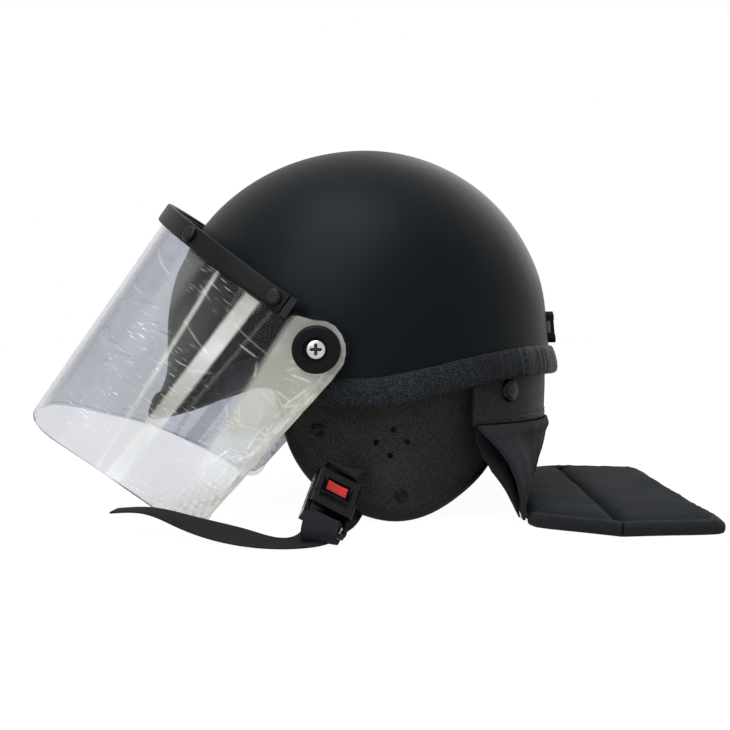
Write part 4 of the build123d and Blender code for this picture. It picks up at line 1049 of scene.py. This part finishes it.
def turned(profile, centre, axis, steps=36):
    """A profile of (radius, height) turned about an axis through a centre: rows go round it."""
    profile = np.asarray(profile, float)
    axis = axis / np.linalg.norm(axis)
    side = np.cross(axis, [0.0, 0.0, 1.0])
    side = side / np.linalg.norm(side)
    up = np.cross(axis, side)
    turn = np.linspace(0, 2 * pi, steps, endpoint=False)[:, None, None]
    ring = np.cos(turn) * side + np.sin(turn) * up
    return centre + ring * profile[None, :, 0, None] + axis * profile[None, :, 1, None]


def turned_mesh(name, profile, centre, axis, steps=36, side=1):
    """A turned profile as a mesh, on the left for 1 and on the right for -1."""
    places = mirrored(turned(profile, centre, axis, steps), side)
    return make_mesh(name, places, closed_rows=True, closed_columns=False)


def joined(name, meshes, sharp=50.0):
    """Several meshes as one."""
    work = bmesh.new()
    for mesh in meshes:
        work.from_mesh(mesh)
    made = bpy.data.meshes.new(name)
    work.to_mesh(made)
    work.free()
    made.shade_smooth()
    made.set_sharp_from_angle(angle=radians(sharp))
    return made


snap_face = [
    (0.001, 1.35), (1.3, 1.3), (2.2, 1.1), (2.45, 0.85), (2.7, 1.15), (3.3, 1.3), (3.9, 0.95), (4.2, 0.35),
    (4.2, -0.4), (1.5, -0.4), (1.5, -2.9), (0.001, -2.9),
]
vent_cut = [(0.001, 5), (vent_radius, 5), (vent_radius, -6), (0.001, -6)]
flap_swell, flap_edge_draw = 0.35, 0.25
lining_gap, lining_edge, lining_fullness = 3.35, 2.6, 5.3
channel_back, channel_half, channel_depth, channel_foot = -2.5, 15.0, 1.9, 30
for side, side_name in ((1, "left"), (-1, "right")):
    swell = ripple(np.arange(198.0), seed=31 + side, waves=5, longest=90, shortest=25)[None]
    flap_outs = (
        lambda plan, share: flap_swell * swell[:, :plan.shape[1]] * share * (1 - share) * 4
        - flap_edge_draw * share ** 8,
        lambda plan, share: -flap_wall_thickness + flap_edge_draw * share ** 8 + 0 * plan[..., 0],
    )
    flap = put(
        make_mesh(f"ear_flap_{side_name}", mirrored(flap_sheet(0.0, flap_outs), side), sharp=50.0),
        leatherette, "helmet", "leatherette", f"cheek_flap_{side_name}",
    )
    cutters = []
    for back, height in vent_spots:
        centre = mirrored(flap_place(np.array(back), np.array(height)), side)
        bore = turned_mesh("bore", vent_cut, centre, np.array([side, 0, 0]), 20)
        cutters.append(bpy.data.objects.new("bore", bore))
    bored(flap, cutters)

    inward = edge_inward(flap_edge)
    tape_rows = []
    for offset, out in tape_profile:
        spot = flap_edge + inward * offset
        tape_rows.append(flap_place(spot[:, 0], np.minimum(spot[:, 1], flap_top_height), out))
    tape_places = np.stack(tape_rows, 1)
    tape_places[..., 2] = np.maximum(tape_places[..., 2], table_gap)
    put(
        make_mesh(f"flap_edging_{side_name}", mirrored(tape_places, side)),
        edge_tape, "helmet", "binding_tape", f"flap_binding_{side_name}",
    )
    seam_spot = flap_edge + inward * seam_inset
    seam = flap_place(seam_spot[:, 0], seam_spot[:, 1], seam_out)
    seam_away = unit(seam - flap_place(seam_spot[:, 0], seam_spot[:, 1], 0.0))
    put_stitches(
        f"flap_stitches_{side_name}", [(mirrored(seam, side), mirrored(seam_away, side))],
        "helmet", "binding_tape",
    )

    def lining_outer(plan, share):
        """The face on the flap: flat, thinned at its edge and hollowed for the strap's channel."""
        channel = np.exp(-((plan[..., 0] - channel_back) / channel_half) ** 6) * (plan[..., 1] > channel_foot)
        return -lining_gap - channel_depth * channel - lining_edge * share ** 6

    def lining_inner(plan, share):
        """The face towards the ear: full in its middle and quilted in upright rolls."""
        quilt = np.abs(np.sin(plan[..., 0] * pi / 36.0)) ** 0.35
        fullness = lining_fullness * (1 - share ** 5) ** 0.6
        return -lining_gap - lining_edge - fullness * (0.72 + 0.28 * quilt)

    lining_places = mirrored(flap_sheet(6.0, (lining_outer, lining_inner), rings=30), side)
    lining = put(
        make_mesh(f"flap_padding_{side_name}", lining_places),
        pad_cloth, "helmet", "pad_cloth", f"flap_lining_{side_name}",
    )
    caps = []
    for back, height in rivet_spots:
        centre = flap_place(np.array(back), np.array(height), 0.05)
        axis = centre - flap_place(np.array(back), np.array(height), -1.0)
        caps.append(turned_mesh("cap", snap_face, centre, axis, side=side))
    put(
        joined(f"flap_snap_caps_{side_name}", caps), black_screw,
        "helmet", "black_metal", f"flap_rivets_{side_name}",
    )


# Neck band: a strip of the same leatherette riveted under the rim at the back, with its lower hem
# turned and sewn over the cloth, and a round snap cap near each end.
def arc_radius(end_x, rise):
    """The radius of an arc from its half-width and its rise: the sum of their squares over twice
    the rise."""
    return (end_x ** 2 + rise ** 2) / (2 * rise)


def arc_place(end_x, end_y, centre_y, share):
    """A place on the circle through both ends and the centre of the back, by a share from -1 to 1."""
    radius = arc_radius(end_x, centre_y - end_y)
    turn = share * np.arcsin(np.clip(end_x / radius, -1, 1))
    return radius * np.sin(turn), centre_y - radius + radius * np.cos(turn)


band_foot, band_height = 60.0, 33.0
band_half, band_half_lean, band_end_y = 94.5, 2.9, 70.5
band_rear_y, band_rear_lean, band_centre_y = 123.5, 0.8, 123.5 - 110.7


def band_place(share, height, out):
    """The neck band's wall: an arc in plan that leans in a little towards its top."""
    up = (height - band_foot) / band_height
    x, y = arc_place(
        band_half - band_half_lean * up, band_end_y + 0 * up, band_rear_y + band_rear_lean * up, share
    )
    middle = np.stack([0 * x, band_centre_y + 0 * y], -1)
    away = unit(np.stack([x, y], -1) - middle)
    return np.stack([x + away[..., 0] * out, y + away[..., 1] * out, height + 0 * x], -1)


band_profile = np.array([
    (0.0, 93.0), (0.15, 88.0), (0.25, 80.0), (0.2, 72.0), (0.15, 66.5), (0.45, 65.4), (0.7, 63.5),
    (0.6, 61.2), (0.0, 60.2), (-1.1, 59.9), (-2.1, 60.4), (-2.4, 63.0), (-2.3, 72.0), (-2.3, 85.0),
    (-2.2, 93.0), (-1.1, 93.3),
])
band_steps, band_length, band_wave_depth = 150, 240, 0.25
hem_height, hem_out = 65.9, 0.35
band_share = np.linspace(-1, 1, band_steps)
band_wave = band_wave_depth * ripple(
    np.linspace(0, band_length, band_steps), seed=41, waves=5, longest=80, shortest=20
)[:, None]
band_places = band_place(
    band_share[:, None] * np.ones((1, len(band_profile))), band_profile[None, :, 1],
    band_profile[None, :, 0] + band_wave,
)
put(make_mesh("neck_strip", band_places), leatherette, "helmet", "leatherette", "neck_band")
hem_share = band_share[2:-2]
hem_heights = np.full_like(hem_share, hem_height)
band_seam = band_place(hem_share, hem_heights, hem_out + band_wave[2:-2, 0])
band_seam_away = unit(band_seam - band_place(hem_share, hem_heights, -2.0))
put_stitches("neck_strip_stitches", [(band_seam, band_seam_away)], "helmet", "leatherette")
neck_snap_face = [
    (0.001, 2.2), (3.2, 2.15), (4.9, 1.9), (5.2, 1.6), (5.5, 1.9), (6.5, 1.7), (7.2, 1.0), (7.5, 0.2),
    (7.5, -0.15), (2.5, -0.15), (2.5, -2.6), (0.001, -2.6),
]
neck_snap_share, neck_snap_height = 0.735, np.array(81.0)
neck_caps = []
for side in (1, -1):
    snap_share = np.array(neck_snap_share * side)
    centre = band_place(snap_share, neck_snap_height, 0.2)
    axis = centre - band_place(snap_share, neck_snap_height, -1.0)
    neck_caps.append(turned_mesh("cap", neck_snap_face, centre, axis, 48))
put(joined("neck_snap_caps", neck_caps), black_screw, "helmet", "black_metal", "neck_band_snaps")


# Neck cloth: woven cloth sewn under the band, hanging in soft waves to the fold of the guard, with a
# bound edge at each side and a thinner dark lining inside.
def hung_place(rows, share, fall, out):
    """Cloth through arcs at falling heights: rows of (height, end x, end y, centre y) are joined by
    splines down the fall, and out is square to the arc."""
    line = through(rows, 200)
    at = np.linspace(0, 1, len(line))
    height, end_x, end_y, centre_y = (np.interp(fall, at, line[:, k]) for k in range(4))
    x, y = arc_place(end_x, end_y, centre_y, share)
    away = unit(np.stack([x, y - centre_y + arc_radius(end_x, centre_y - end_y)], -1))
    return np.stack([x + away[..., 0] * out, y + away[..., 1] * out, height], -1)


cloth_rows = [
    (60.0, 95.6, 72.7, 126.0), (43.2, 99.5, 89.4, 122.7), (27.5, 105.0, 97.8, 117.2),
    (4.6, 109.8, 100.8, 103.4),
]
lining_rows = [
    (60.0, 92.5, 71.5, 121.8), (43.2, 93.0, 75.0, 113.1), (27.5, 100.5, 86.0, 109.1),
    (6.0, 107.6, 98.2, 100.0),
]

# Weave: crossed threads over a vector in millimetres, a product of two sines with a little fuzz
weave, weave_in, weave_out = new_group(
    "plain_weave",
    [("Vector", "NodeSocketVector"), ("Pitch", "NodeSocketFloat"), ("Rib", "NodeSocketFloat")],
    [("Height", "NodeSocketFloat"), ("Shade", "NodeSocketFloat")],
)
weave_split = add_node(weave, "ShaderNodeSeparateXYZ", {0: weave_in.outputs["Vector"]})


def weave_wave(source, stretch):
    """The sine of pi times a length over the pitch, times how far it is stretched."""
    turns = worked_out(weave, "DIVIDE", source, weave_in.outputs["Pitch"])
    turns = worked_out(weave, "MULTIPLY", turns, stretch)
    return worked_out(weave, "SINE", worked_out(weave, "MULTIPLY", turns, pi))


weave_run = weave_wave(weave_split.outputs["X"], weave_in.outputs["Rib"])
weave_cross = weave_wave(weave_split.outputs["Y"], 1.0)
weave_fuzz = add_node(weave, "ShaderNodeTexNoise", {
    "Vector": weave_in.outputs["Vector"], "Scale": 3.0, "Detail": 3.0,
})
weave_height = worked_out(
    weave, "ADD", worked_out(weave, "MULTIPLY", weave_run, weave_cross), weave_fuzz.outputs["Fac"]
)
weave_shade = add_node(weave, "ShaderNodeMapRange", {
    "Value": weave_height, "From Min": -0.5, "From Max": 1.5,
})
weave.links.new(weave_height, weave_out.inputs["Height"])
weave.links.new(weave_shade.outputs["Result"], weave_out.inputs["Shade"])


def woven_finish(name, dark, light, pitch, rib, relief, **plain):
    """Cloth or webbing: a weave along the piece's UVs in millimetres, with patchy wear. pitch is
    the width of a thread across, rib how many times finer the threads along it are, and relief the
    strength and depth of the weave."""
    material, tree, shader = finish_called(name, light, 0.85, **plain)
    where = add_node(tree, "ShaderNodeTexCoord").outputs["UV"]
    threads = add_node(tree, "ShaderNodeGroup", {
        "Vector": where, "Pitch": pitch, "Rib": rib,
    }, node_tree=weave)
    worn = mottled(tree, patch_scale=25.0, grain_scale=500.0).outputs["Patch"]
    halved = worked_out(tree, "MULTIPLY", worked_out(tree, "ADD", threads.outputs["Shade"], worn), 0.5)
    tree.links.new(colours(tree, halved, dark, light), shader.inputs["Base Color"])
    tree.links.new(between(tree, worn, 0.78, 0.92), shader.inputs["Roughness"])
    raised(tree, shader, threads.outputs["Height"], *relief)
    return material


neck_cloth_finish = woven_finish(
    "ribbed_neck_cloth", (0.0035, 0.0045, 0.006), (0.014, 0.0165, 0.021), pitch=1.1, rib=1.0,
    relief=(0.6, 0.0005), sheen_weight=0.04, specular_ior_level=0.15,
)
lining_cloth_finish = woven_finish(
    "dark_lining_cloth", (0.002, 0.0025, 0.0035), (0.008, 0.009, 0.012), pitch=0.9, rib=1.0,
    relief=(0.4, 0.0003), sheen_weight=0.03, specular_ior_level=0.12,
)


def hung_cloth(name, rows, thickness, bulge, wave, seed, across=170, down=60, half_length=112):
    """A closed cloth sheet, its outer and inner face as one ring of columns per row. Long and
    short ripples swell down the middle of the fall, and a bulge stands out just under its top."""
    share, fall = np.meshgrid(np.linspace(-1, 1, across), np.linspace(0, 1, down), indexing="ij")
    length = share * half_length
    middle = np.sin(pi * fall) ** 0.7
    folds = wave * middle * (
        0.6 * ripple(length + 18 * fall, seed, waves=4, longest=70, shortest=34)
        + 0.3 * ripple(length - 8 * fall, seed + 1, waves=4, longest=30, shortest=14)
    )
    out = folds + bulge * np.exp(-((fall - 0.09) / 0.07) ** 2)
    faces = [hung_place(rows, share, fall, out - thickness * k) for k in (0, 1)]
    return make_mesh(name, np.concatenate([faces[0], faces[1][:, ::-1]], 1))


def carried(path, outward, upward, profile):
    """A profile of (out, up) points carried along a path with an outward and an upward direction."""
    profile = np.asarray(profile, float)
    out, up = profile[None, :, 0, None], profile[None, :, 1, None]
    return path[:, None] + outward[:, None] * out + upward[:, None] * up


neck_cloth = put(
    hung_cloth("neck_cloth", cloth_rows, thickness=1.8, bulge=1.6, wave=1.5, seed=51),
    neck_cloth_finish, "helmet", "curtain_cloth", "neck_curtain",
)
neck_lining = put(
    hung_cloth("neck_cloth_lining", lining_rows, thickness=1.4, bulge=0.0, wave=1.2, seed=57),
    lining_cloth_finish, "helmet", "curtain_cloth", "curtain_lining",
)
border_profile = rounded(1.9, 1.5, 14)
border_share, border_out, border_middle_y = 0.995, -0.9, 15.0
border_meshes = []
for side in (1, -1):
    fall = np.linspace(0.02, 0.985, 60)
    border = hung_place(
        cloth_rows, np.full_like(fall, border_share * side), fall, np.full_like(fall, border_out)
    )
    border_run = unit(np.gradient(border, axis=0))
    border_away = unit(np.stack([border[:, 0], border[:, 1] - border_middle_y, 0 * fall], -1))
    border_away = unit(border_away - (border_away * border_run).sum(1, keepdims=True) * border_run)
    border_side = np.cross(border_run, border_away)
    border_meshes.append(make_mesh("border", carried(border, border_away, border_side, border_profile)))
put(joined("neck_cloth_borders", border_meshes), neck_cloth_finish, "helmet", "curtain_cloth")


# Neck guard: two quilted foam panels in smooth woven cloth, hinged on the cloth between them, with a
# ribbed woven tape sewn round their edges in two rows. It lies folded out flat on the table.
guard_cloth = woven_finish(
    "guard_cloth", (0.0030, 0.0045, 0.0062), (0.0080, 0.0110, 0.0145), pitch=0.7, rib=1.0,
    relief=(0.4, 0.0002), sheen_weight=0.01, specular_ior_level=0.06,
)
guard_tape = woven_finish(
    "ribbed_edge_tape", (0.0025, 0.003, 0.0045), (0.012, 0.014, 0.0185), pitch=1.5, rib=2.0,
    relief=(0.9, 0.0007), sheen_weight=0.03, specular_ior_level=0.15,
)
guard_seam_height, guard_top_height, guard_foot_gap = 3.6, 11.6, 0.3
guard_corner, guard_middle_back = 7.0, 160.0
guard_swell = guard_top_height - guard_seam_height - 0.9
side_fade, end_fade = 9.0, 7.0
side_pucker, end_pucker, guard_slack = 0.45, 0.4, 0.7


def panel_place(front_back, front_half, rear_back, rear_half, seed, front_corner):
    """A panel between two widths, its front corners rounded by an arc: a flat underside, and a top
    crowned between its sewn edges with short puckers that fade inwards and a slow slack."""
    def place(u, v, crown, top):
        """The panel's place: v runs back, u runs across, and top tells its upper face."""
        back = (front_back + rear_back) / 2 + (rear_back - front_back) / 2 * v
        half = (front_half + rear_half) / 2 + (rear_half - front_half) / 2 * v
        rounding = np.clip(1 - (back - front_back) / max(front_corner, 0.1), 0, 1)
        half = half - front_corner * (1 - np.sqrt(1 - rounding ** 2))
        x = half * u
        near_side = np.exp(-(1 - np.abs(u)) * half / side_fade)
        near_end = np.exp(-(1 - np.abs(v)) * (rear_back - front_back) / 2 / end_fade)
        pucker = side_pucker * near_side * ripple(back, seed, waves=6, longest=14, shortest=5) \
            + end_pucker * near_end * ripple(x, seed + 1, waves=8, longest=16, shortest=5)
        slack = guard_slack * ripple(x + 0.3 * back, seed + 2, waves=5, longest=120, shortest=45) \
            * ripple(back, seed + 3, waves=4, longest=80, shortest=30)
        high = guard_seam_height + guard_swell * crown + (pucker + slack * 0.5) * crown
        low = guard_seam_height - (guard_seam_height - guard_foot_gap) * crown ** 0.35
        return np.stack([x, back + 0 * x, np.where(top, high, low)], -1)
    return place


tape_section = np.array([
    (-8.0, 7.6), (-6.0, 8.6), (-3.5, 8.7), (-1.2, 8.0), (0.4, 6.6), (1.2, 4.8), (1.1, 2.8), (0.3, 1.1),
    (-1.4, 0.35), (-5.0, 0.3), (-8.0, 0.45), (-8.0, 3.5),
])
tape_wave_depth, tape_wave_foot = 0.16, 3
guard_seams = ((-5.2, 8.45, 0.0), (0.55, 6.1, 1.2))


def guard_edge(front_back, front_half, rear_back, rear_half, with_rear):
    """The outline of a panel's tape: along each side of the inner panel, or from the left front
    corner of the outer one back along its side, across its rear and forward again."""
    corner = guard_corner
    side = [(front_half, front_back), ((front_half + rear_half) / 2, (front_back + rear_back) / 2)]
    flare = (rear_half - front_half) / (rear_back - front_back)
    if not with_rear:
        left = np.array([
            (front_half - corner, front_back),
            (front_half - corner * 0.22 + flare, front_back + corner * 0.28),
            (front_half + flare * corner, front_back + corner), side[1], (rear_half, rear_back),
        ], float)
        return [left, left * [-1, 1]]
    left = np.array(side + [
        (rear_half - flare * corner, rear_back - corner),
        (rear_half - corner * 0.25, rear_back - corner * 0.22), (rear_half - corner, rear_back),
        (rear_half * 0.5, rear_back),
    ], float)
    return [np.concatenate([left, [(0.0, rear_back)], (left * [-1, 1])[::-1]])]


for piece_name, node_name, body, plan, seed, with_rear in (
    ("guard_inner", "neck_pad_front", "neck_pad_inner", (103.6, 110.0, 152.0, 140.0), 61, False),
    ("guard_outer", "neck_pad_rear", "neck_pad_outer", (154.0, 140.0, 214.3, 129.5), 71, True),
):
    shape = panel_place(*plan, seed, 0.0 if with_rear else guard_corner)
    panel_mesh = make_mesh(
        piece_name, pillow(shape, 110, 60, roundness=0.03, fullness=8.0),
        closed_rows=True, closed_columns=False, sharp=60.0,
    )
    panel = put(panel_mesh, guard_cloth, body, "guard_cloth", node_name)
    tapes, seams = [], []
    for line in guard_edge(*plan, with_rear):
        edge = through(line, 160)
        run = unit(np.gradient(edge, axis=0))
        outward = np.stack([run[:, 1], -run[:, 0], 0 * run[:, 0]], -1)
        if (outward[:, :2] * (edge - [0, guard_middle_back])).sum() < 0:
            outward = -outward
        path = np.concatenate([edge, np.zeros((len(edge), 1))], 1)
        upward = np.tile([0.0, 0.0, 1.0], (len(edge), 1))
        length = np.concatenate([[0], np.cumsum(np.linalg.norm(np.diff(edge, axis=0), axis=1))])
        wave = tape_wave_depth * ripple(length, seed + 5, waves=7, longest=18, shortest=6)[:, None, None]
        section = tape_section[None] + wave * [0.6, 1.0] * (tape_section[None, :, 1:] > tape_wave_foot)
        tapes.append(make_mesh(
            "tape", path[:, None] + outward[:, None] * section[..., :1] + upward[:, None] * section[..., 1:],
        ))
        for inset, height, lean in guard_seams:
            seams.append((path + outward * inset + upward * height, unit(upward + lean * outward)))
    put(joined(f"{piece_name}_edging", tapes), guard_tape, body, "guard_cloth")
    put_stitches(f"{piece_name}_stitches", seams, body, "guard_cloth")


# Rear clip: a moulded black loop that holds a goggle strap, fixed to the back of the shell with
# two blackened rivets. Both are small and plain, so the CAD solids stay.
dress(black_moulding, "rear_strap_clip")
dress(black_screw, "rear_clip_rivets")


# Buckle: a moulded black housing with a raised lip and a red press button in its window, a tongue
# that plugs in at the top, and a steel bar at the foot that the webbing runs round. The housing and
# tongue are the CAD solids with their moulded edges softened; the button has ribs for the thumb.
buckle_centre = np.array([145.646, -13.094, 23.0])
buckle_across = np.array([-0.164802, 0.862791, -0.477946])
buckle_out = np.array([0.639409, 0.462412, 0.614273])
buckle_up = -np.array([0.750997, -0.20437, -0.627883])
buckle_half_length, tongue_reach, tongue_bar_inset, bar_reach = 12.5, 9.0, 1.3, 6.0


def in_buckle(across, up, out):
    """A place in the buckle's own frame: across it, up towards the tongue, and out of its face."""
    across, up, out = (
        np.multiply.outer(np.asarray(length, float), direction)
        for length, direction in ((across, buckle_across), (up, buckle_up), (out, buckle_out))
    )
    return buckle_centre + across + up + out


def softened(name, node_name, width, segments=3, flat=1.5, crisp=28.0, sharp=40.0):
    """A copy of a moulded CAD node with its doubles merged, faces within the flat angle joined,
    and edges over the crisp angle rounded."""
    work = bmesh.new()
    work.from_mesh(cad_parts[node_name].data)
    bmesh.ops.remove_doubles(work, verts=work.verts, dist=sliver_reach)
    bmesh.ops.dissolve_limit(work, angle_limit=radians(flat), verts=work.verts, edges=work.edges)
    corners = [e for e in work.edges if len(e.link_faces) == 2 and e.calc_face_angle() > radians(crisp)]
    bmesh.ops.bevel(
        work, geom=corners, offset=width * MM, segments=segments, affect="EDGES", clamp_overlap=True,
    )
    made = bpy.data.meshes.new(name)
    work.to_mesh(made)
    work.free()
    made.shade_smooth()
    made.set_sharp_from_angle(angle=radians(sharp))
    return made


buckle_black = mottled_finish(
    "glossy_buckle_black", (0.0016, 0.0017, 0.0020), (0.0036, 0.0038, 0.0044), rough=(0.18, 0.30),
    scales=(40.0, 1500.0), relief=(0.1, 0.0001), specular_ior_level=0.14,
)
button_red = mottled_finish(
    "red_button", (0.30, 0.006, 0.004), (0.46, 0.014, 0.008), rough=(0.3, 0.42),
    scales=(90.0, 1500.0), relief=(0.15, 0.0001),
)
put(softened("buckle_body", "buckle_housing", 0.9), buckle_black, "buckle", "black_plastic", "buckle_housing")
put(softened("buckle_plug", "buckle_tongue", 0.4), buckle_black, "helmet", "black_plastic", "buckle_tongue")

# The button is square with rounded corners, hollowed across for the thumb and ribbed along
button_half_across, button_half_up, button_middle = 6.6, 3.85, 3.5
button_foot, button_face, button_height = 2.4, 3.9, 1.1
rib_depth, rib_turns = 0.22, 9.0
button_rows, button_columns = 30, 22
button_u = np.linspace(-1, 1, button_rows)[:, None] * np.ones((1, button_columns))
button_v = np.linspace(-1, 1, button_columns)[None] * np.ones((button_rows, 1))
button_edge = ((1 - np.abs(button_u) ** 10) * (1 - np.abs(button_v) ** 8)).clip(0) ** 0.25
button_rise = button_height * button_edge * (0.35 + 0.65 * button_u ** 2) \
    + rib_depth * np.cos(button_v * rib_turns) * button_edge
button_across, button_up = button_u * button_half_across, button_middle + button_v * button_half_up
button_shape = np.concatenate([
    in_buckle(button_across, button_up, button_face + button_rise),
    in_buckle(button_across, button_up, button_foot + 0 * button_u)[:, ::-1],
], 1)
put(make_mesh("press_button", button_shape), button_red, "button", "red_button", "release_button")
lip_half, lip_up, lip_bow, lip_height = 12.6, -2.6, 1.8, 5.2
lip_share = np.linspace(-1, 1, 40)
lip_line = in_buckle(lip_share * lip_half, lip_up - lip_bow * lip_share ** 2, lip_height + 0 * lip_share)
lip_shape = carried(
    lip_line, np.tile(buckle_up, (len(lip_line), 1)), np.tile(buckle_out, (len(lip_line), 1)),
    rounded(0.9, 0.7, 12),
)
put(make_mesh("buckle_lip", lip_shape), buckle_black, "buckle", "black_plastic")
dress(dull_plate, "adjuster_bar")


# Chin strap: 20 mm ribbed webbing. One length comes down inside the left flap, out through its slot
# and round the tongue's bar; the other comes out of the right flap, crosses the table under the
# helmet, and is threaded round the buckle's bar, with its loose end curling on the table.
webbing = woven_finish(
    "ribbed_webbing", (0.002, 0.0025, 0.0035), (0.010, 0.012, 0.016), pitch=0.9, rib=0.7,
    relief=(0.9, 0.0005), sheen_weight=0.03, specular_ior_level=0.15,
)
strap_width, strap_thickness = 20.0, 1.3
strap_profile = rounded(strap_width / 2, strap_thickness / 2, 36, 0.25, 0.5)


def strap_run(name, places, widths, steps=150):
    """Webbing along a smooth line of places, its width direction turning smoothly between them. It
    is kept off the table."""
    line = through(places, steps)
    wide = through(np.concatenate([np.asarray(places, float), np.asarray(widths, float)], 1), steps)[:, 3:]
    run = unit(np.gradient(line, axis=0))
    wide = unit(wide - (wide * run).sum(1, keepdims=True) * run)
    laid = carried(line, wide, np.cross(run, wide), strap_profile)
    laid[..., 2] = np.maximum(laid[..., 2], table_gap)
    return make_mesh(name, laid)


def turning(start, end, share):
    """A width direction that has turned by a share of the way from one to another."""
    return start * (1 - share) + end * share


# The left length: inside the flap, through its slot, and out to the tongue's bar
tongue_bar = in_buckle(0, buckle_half_length + tongue_reach - tongue_bar_inset, 0)
across_y = np.array([0.0, 1.0, 0.0])
left_places = [
    (103.0, -2.5, 86.0), (99.2, -2.5, 60.0), (96.0, -2.5, 38.0), (97.6, -2.5, 33.4),
    (102.0, -2.6, 32.7), (108.0, -3.4, 33.6), (116.0, -5.2, 35.4), (123.5, -7.3, 37.4),
    tongue_bar + buckle_out * 1.9 - buckle_up * 0.5,
]
left_widths = [across_y] * 6 + [turning(across_y, buckle_across, share) for share in (0.3, 0.7, 1.0)]
put(
    strap_run("chin_webbing_left", left_places, left_widths), webbing,
    "helmet", "webbing", "chin_strap_left",
)

# The right length: out of its flap, across the table, and up to the buckle's bar
right_places = [
    (-103.0, -2.5, 86.0), (-99.2, -2.5, 60.0), (-96.0, -2.5, 38.0), (-97.6, -2.5, 33.4),
    (-101.6, -2.5, 31.8), (-103.4, -2.5, 27.0), (-101.5, -2.6, 13.0), (-98.0, -3.4, 4.5),
    (-91.5, -4.8, 1.25), (-75.6, -6.0, 1.05), (0.0, -6.0, 1.05), (75.0, -9.0, 1.05),
    (120.0, -13.0, 1.15), (143.0, -16.3, 1.6), (152.5, -16.9, 4.2), (156.5, -17.0, 8.0),
]
right_widths = [across_y] * 14 + [turning(across_y, buckle_across, share) for share in (0.5, 1.0)]
strap_right = put(
    strap_run("chin_webbing_right", right_places, right_widths, steps=320), webbing,
    None, "webbing", "chin_strap_right",
)
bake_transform(strap_right)

# The turn round the bar, and the loop that bulges under the buckle
bar_place = in_buckle(0, -buckle_half_length - bar_reach, 0)
wrap_radius, wrap_share = 3.05, 0.99
wrap_turn = np.linspace(radians(-100), radians(200), 60)[:, None]
wrap_line = bar_place + wrap_radius * (np.cos(wrap_turn) * buckle_out + np.sin(wrap_turn) * -buckle_up)
wrap_shape = carried(
    wrap_line, np.tile(buckle_across, (len(wrap_line), 1)), unit(wrap_line - bar_place),
    strap_profile * [wrap_share, 1.0],
)
put(make_mesh("webbing_wrap", wrap_shape), webbing, "buckle", "webbing")
loop_places = [
    (160.8, -16.6, 15.2), (168.0, -17.2, 14.6), (175.5, -17.8, 11.8), (179.8, -18.1, 8.0),
    (177.5, -18.0, 4.4), (171.5, -17.6, 3.6), (165.5, -17.2, 4.0),
]
loop_width = unit(np.array([-0.12, 0.97, -0.17]))
loop_widths = [turning(buckle_across, loop_width, 0.2)] + [loop_width] * 6
put(strap_run("webbing_loop", loop_places, loop_widths, steps=90), webbing, "buckle", "webbing")

# The loose end: shares of its reach back, forward and up, and its bank to the table in degrees
tail_shares = np.array([
    (1.010, 0.125, 0.50, -28.0), (1.055, 0.140, 0.34, -20.0), (1.100, 0.205, 0.16, -9.0),
    (1.105, 0.320, 0.12, -6.0), (1.050, 0.450, 0.22, -12.0), (0.965, 0.590, 0.36, -12.0),
    (0.905, 0.725, 0.62, -6.0), (0.890, 0.860, 0.95, 0.0), (0.890, 1.000, 0.93, 2.0),
])
tail_reach, tail_lift = [160.0, -140.0, 14.0], [0, 0, 1.05]
tail_places = tail_shares[:, :3] * tail_reach + tail_lift
tail_run = np.gradient(tail_places, axis=0)
tail_level = unit(np.stack([-tail_run[:, 1], tail_run[:, 0], 0 * tail_run[:, 0]], -1))
tail_bank = np.radians(tail_shares[:, 3:])
tail_widths = tail_level * np.cos(tail_bank) + np.array([0, 0, 1.0]) * np.sin(tail_bank)
tail = put(
    strap_run("webbing_tail", tail_places, tail_widths, steps=220), webbing,
    None, "webbing", "strap_tail",
)
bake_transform(tail)
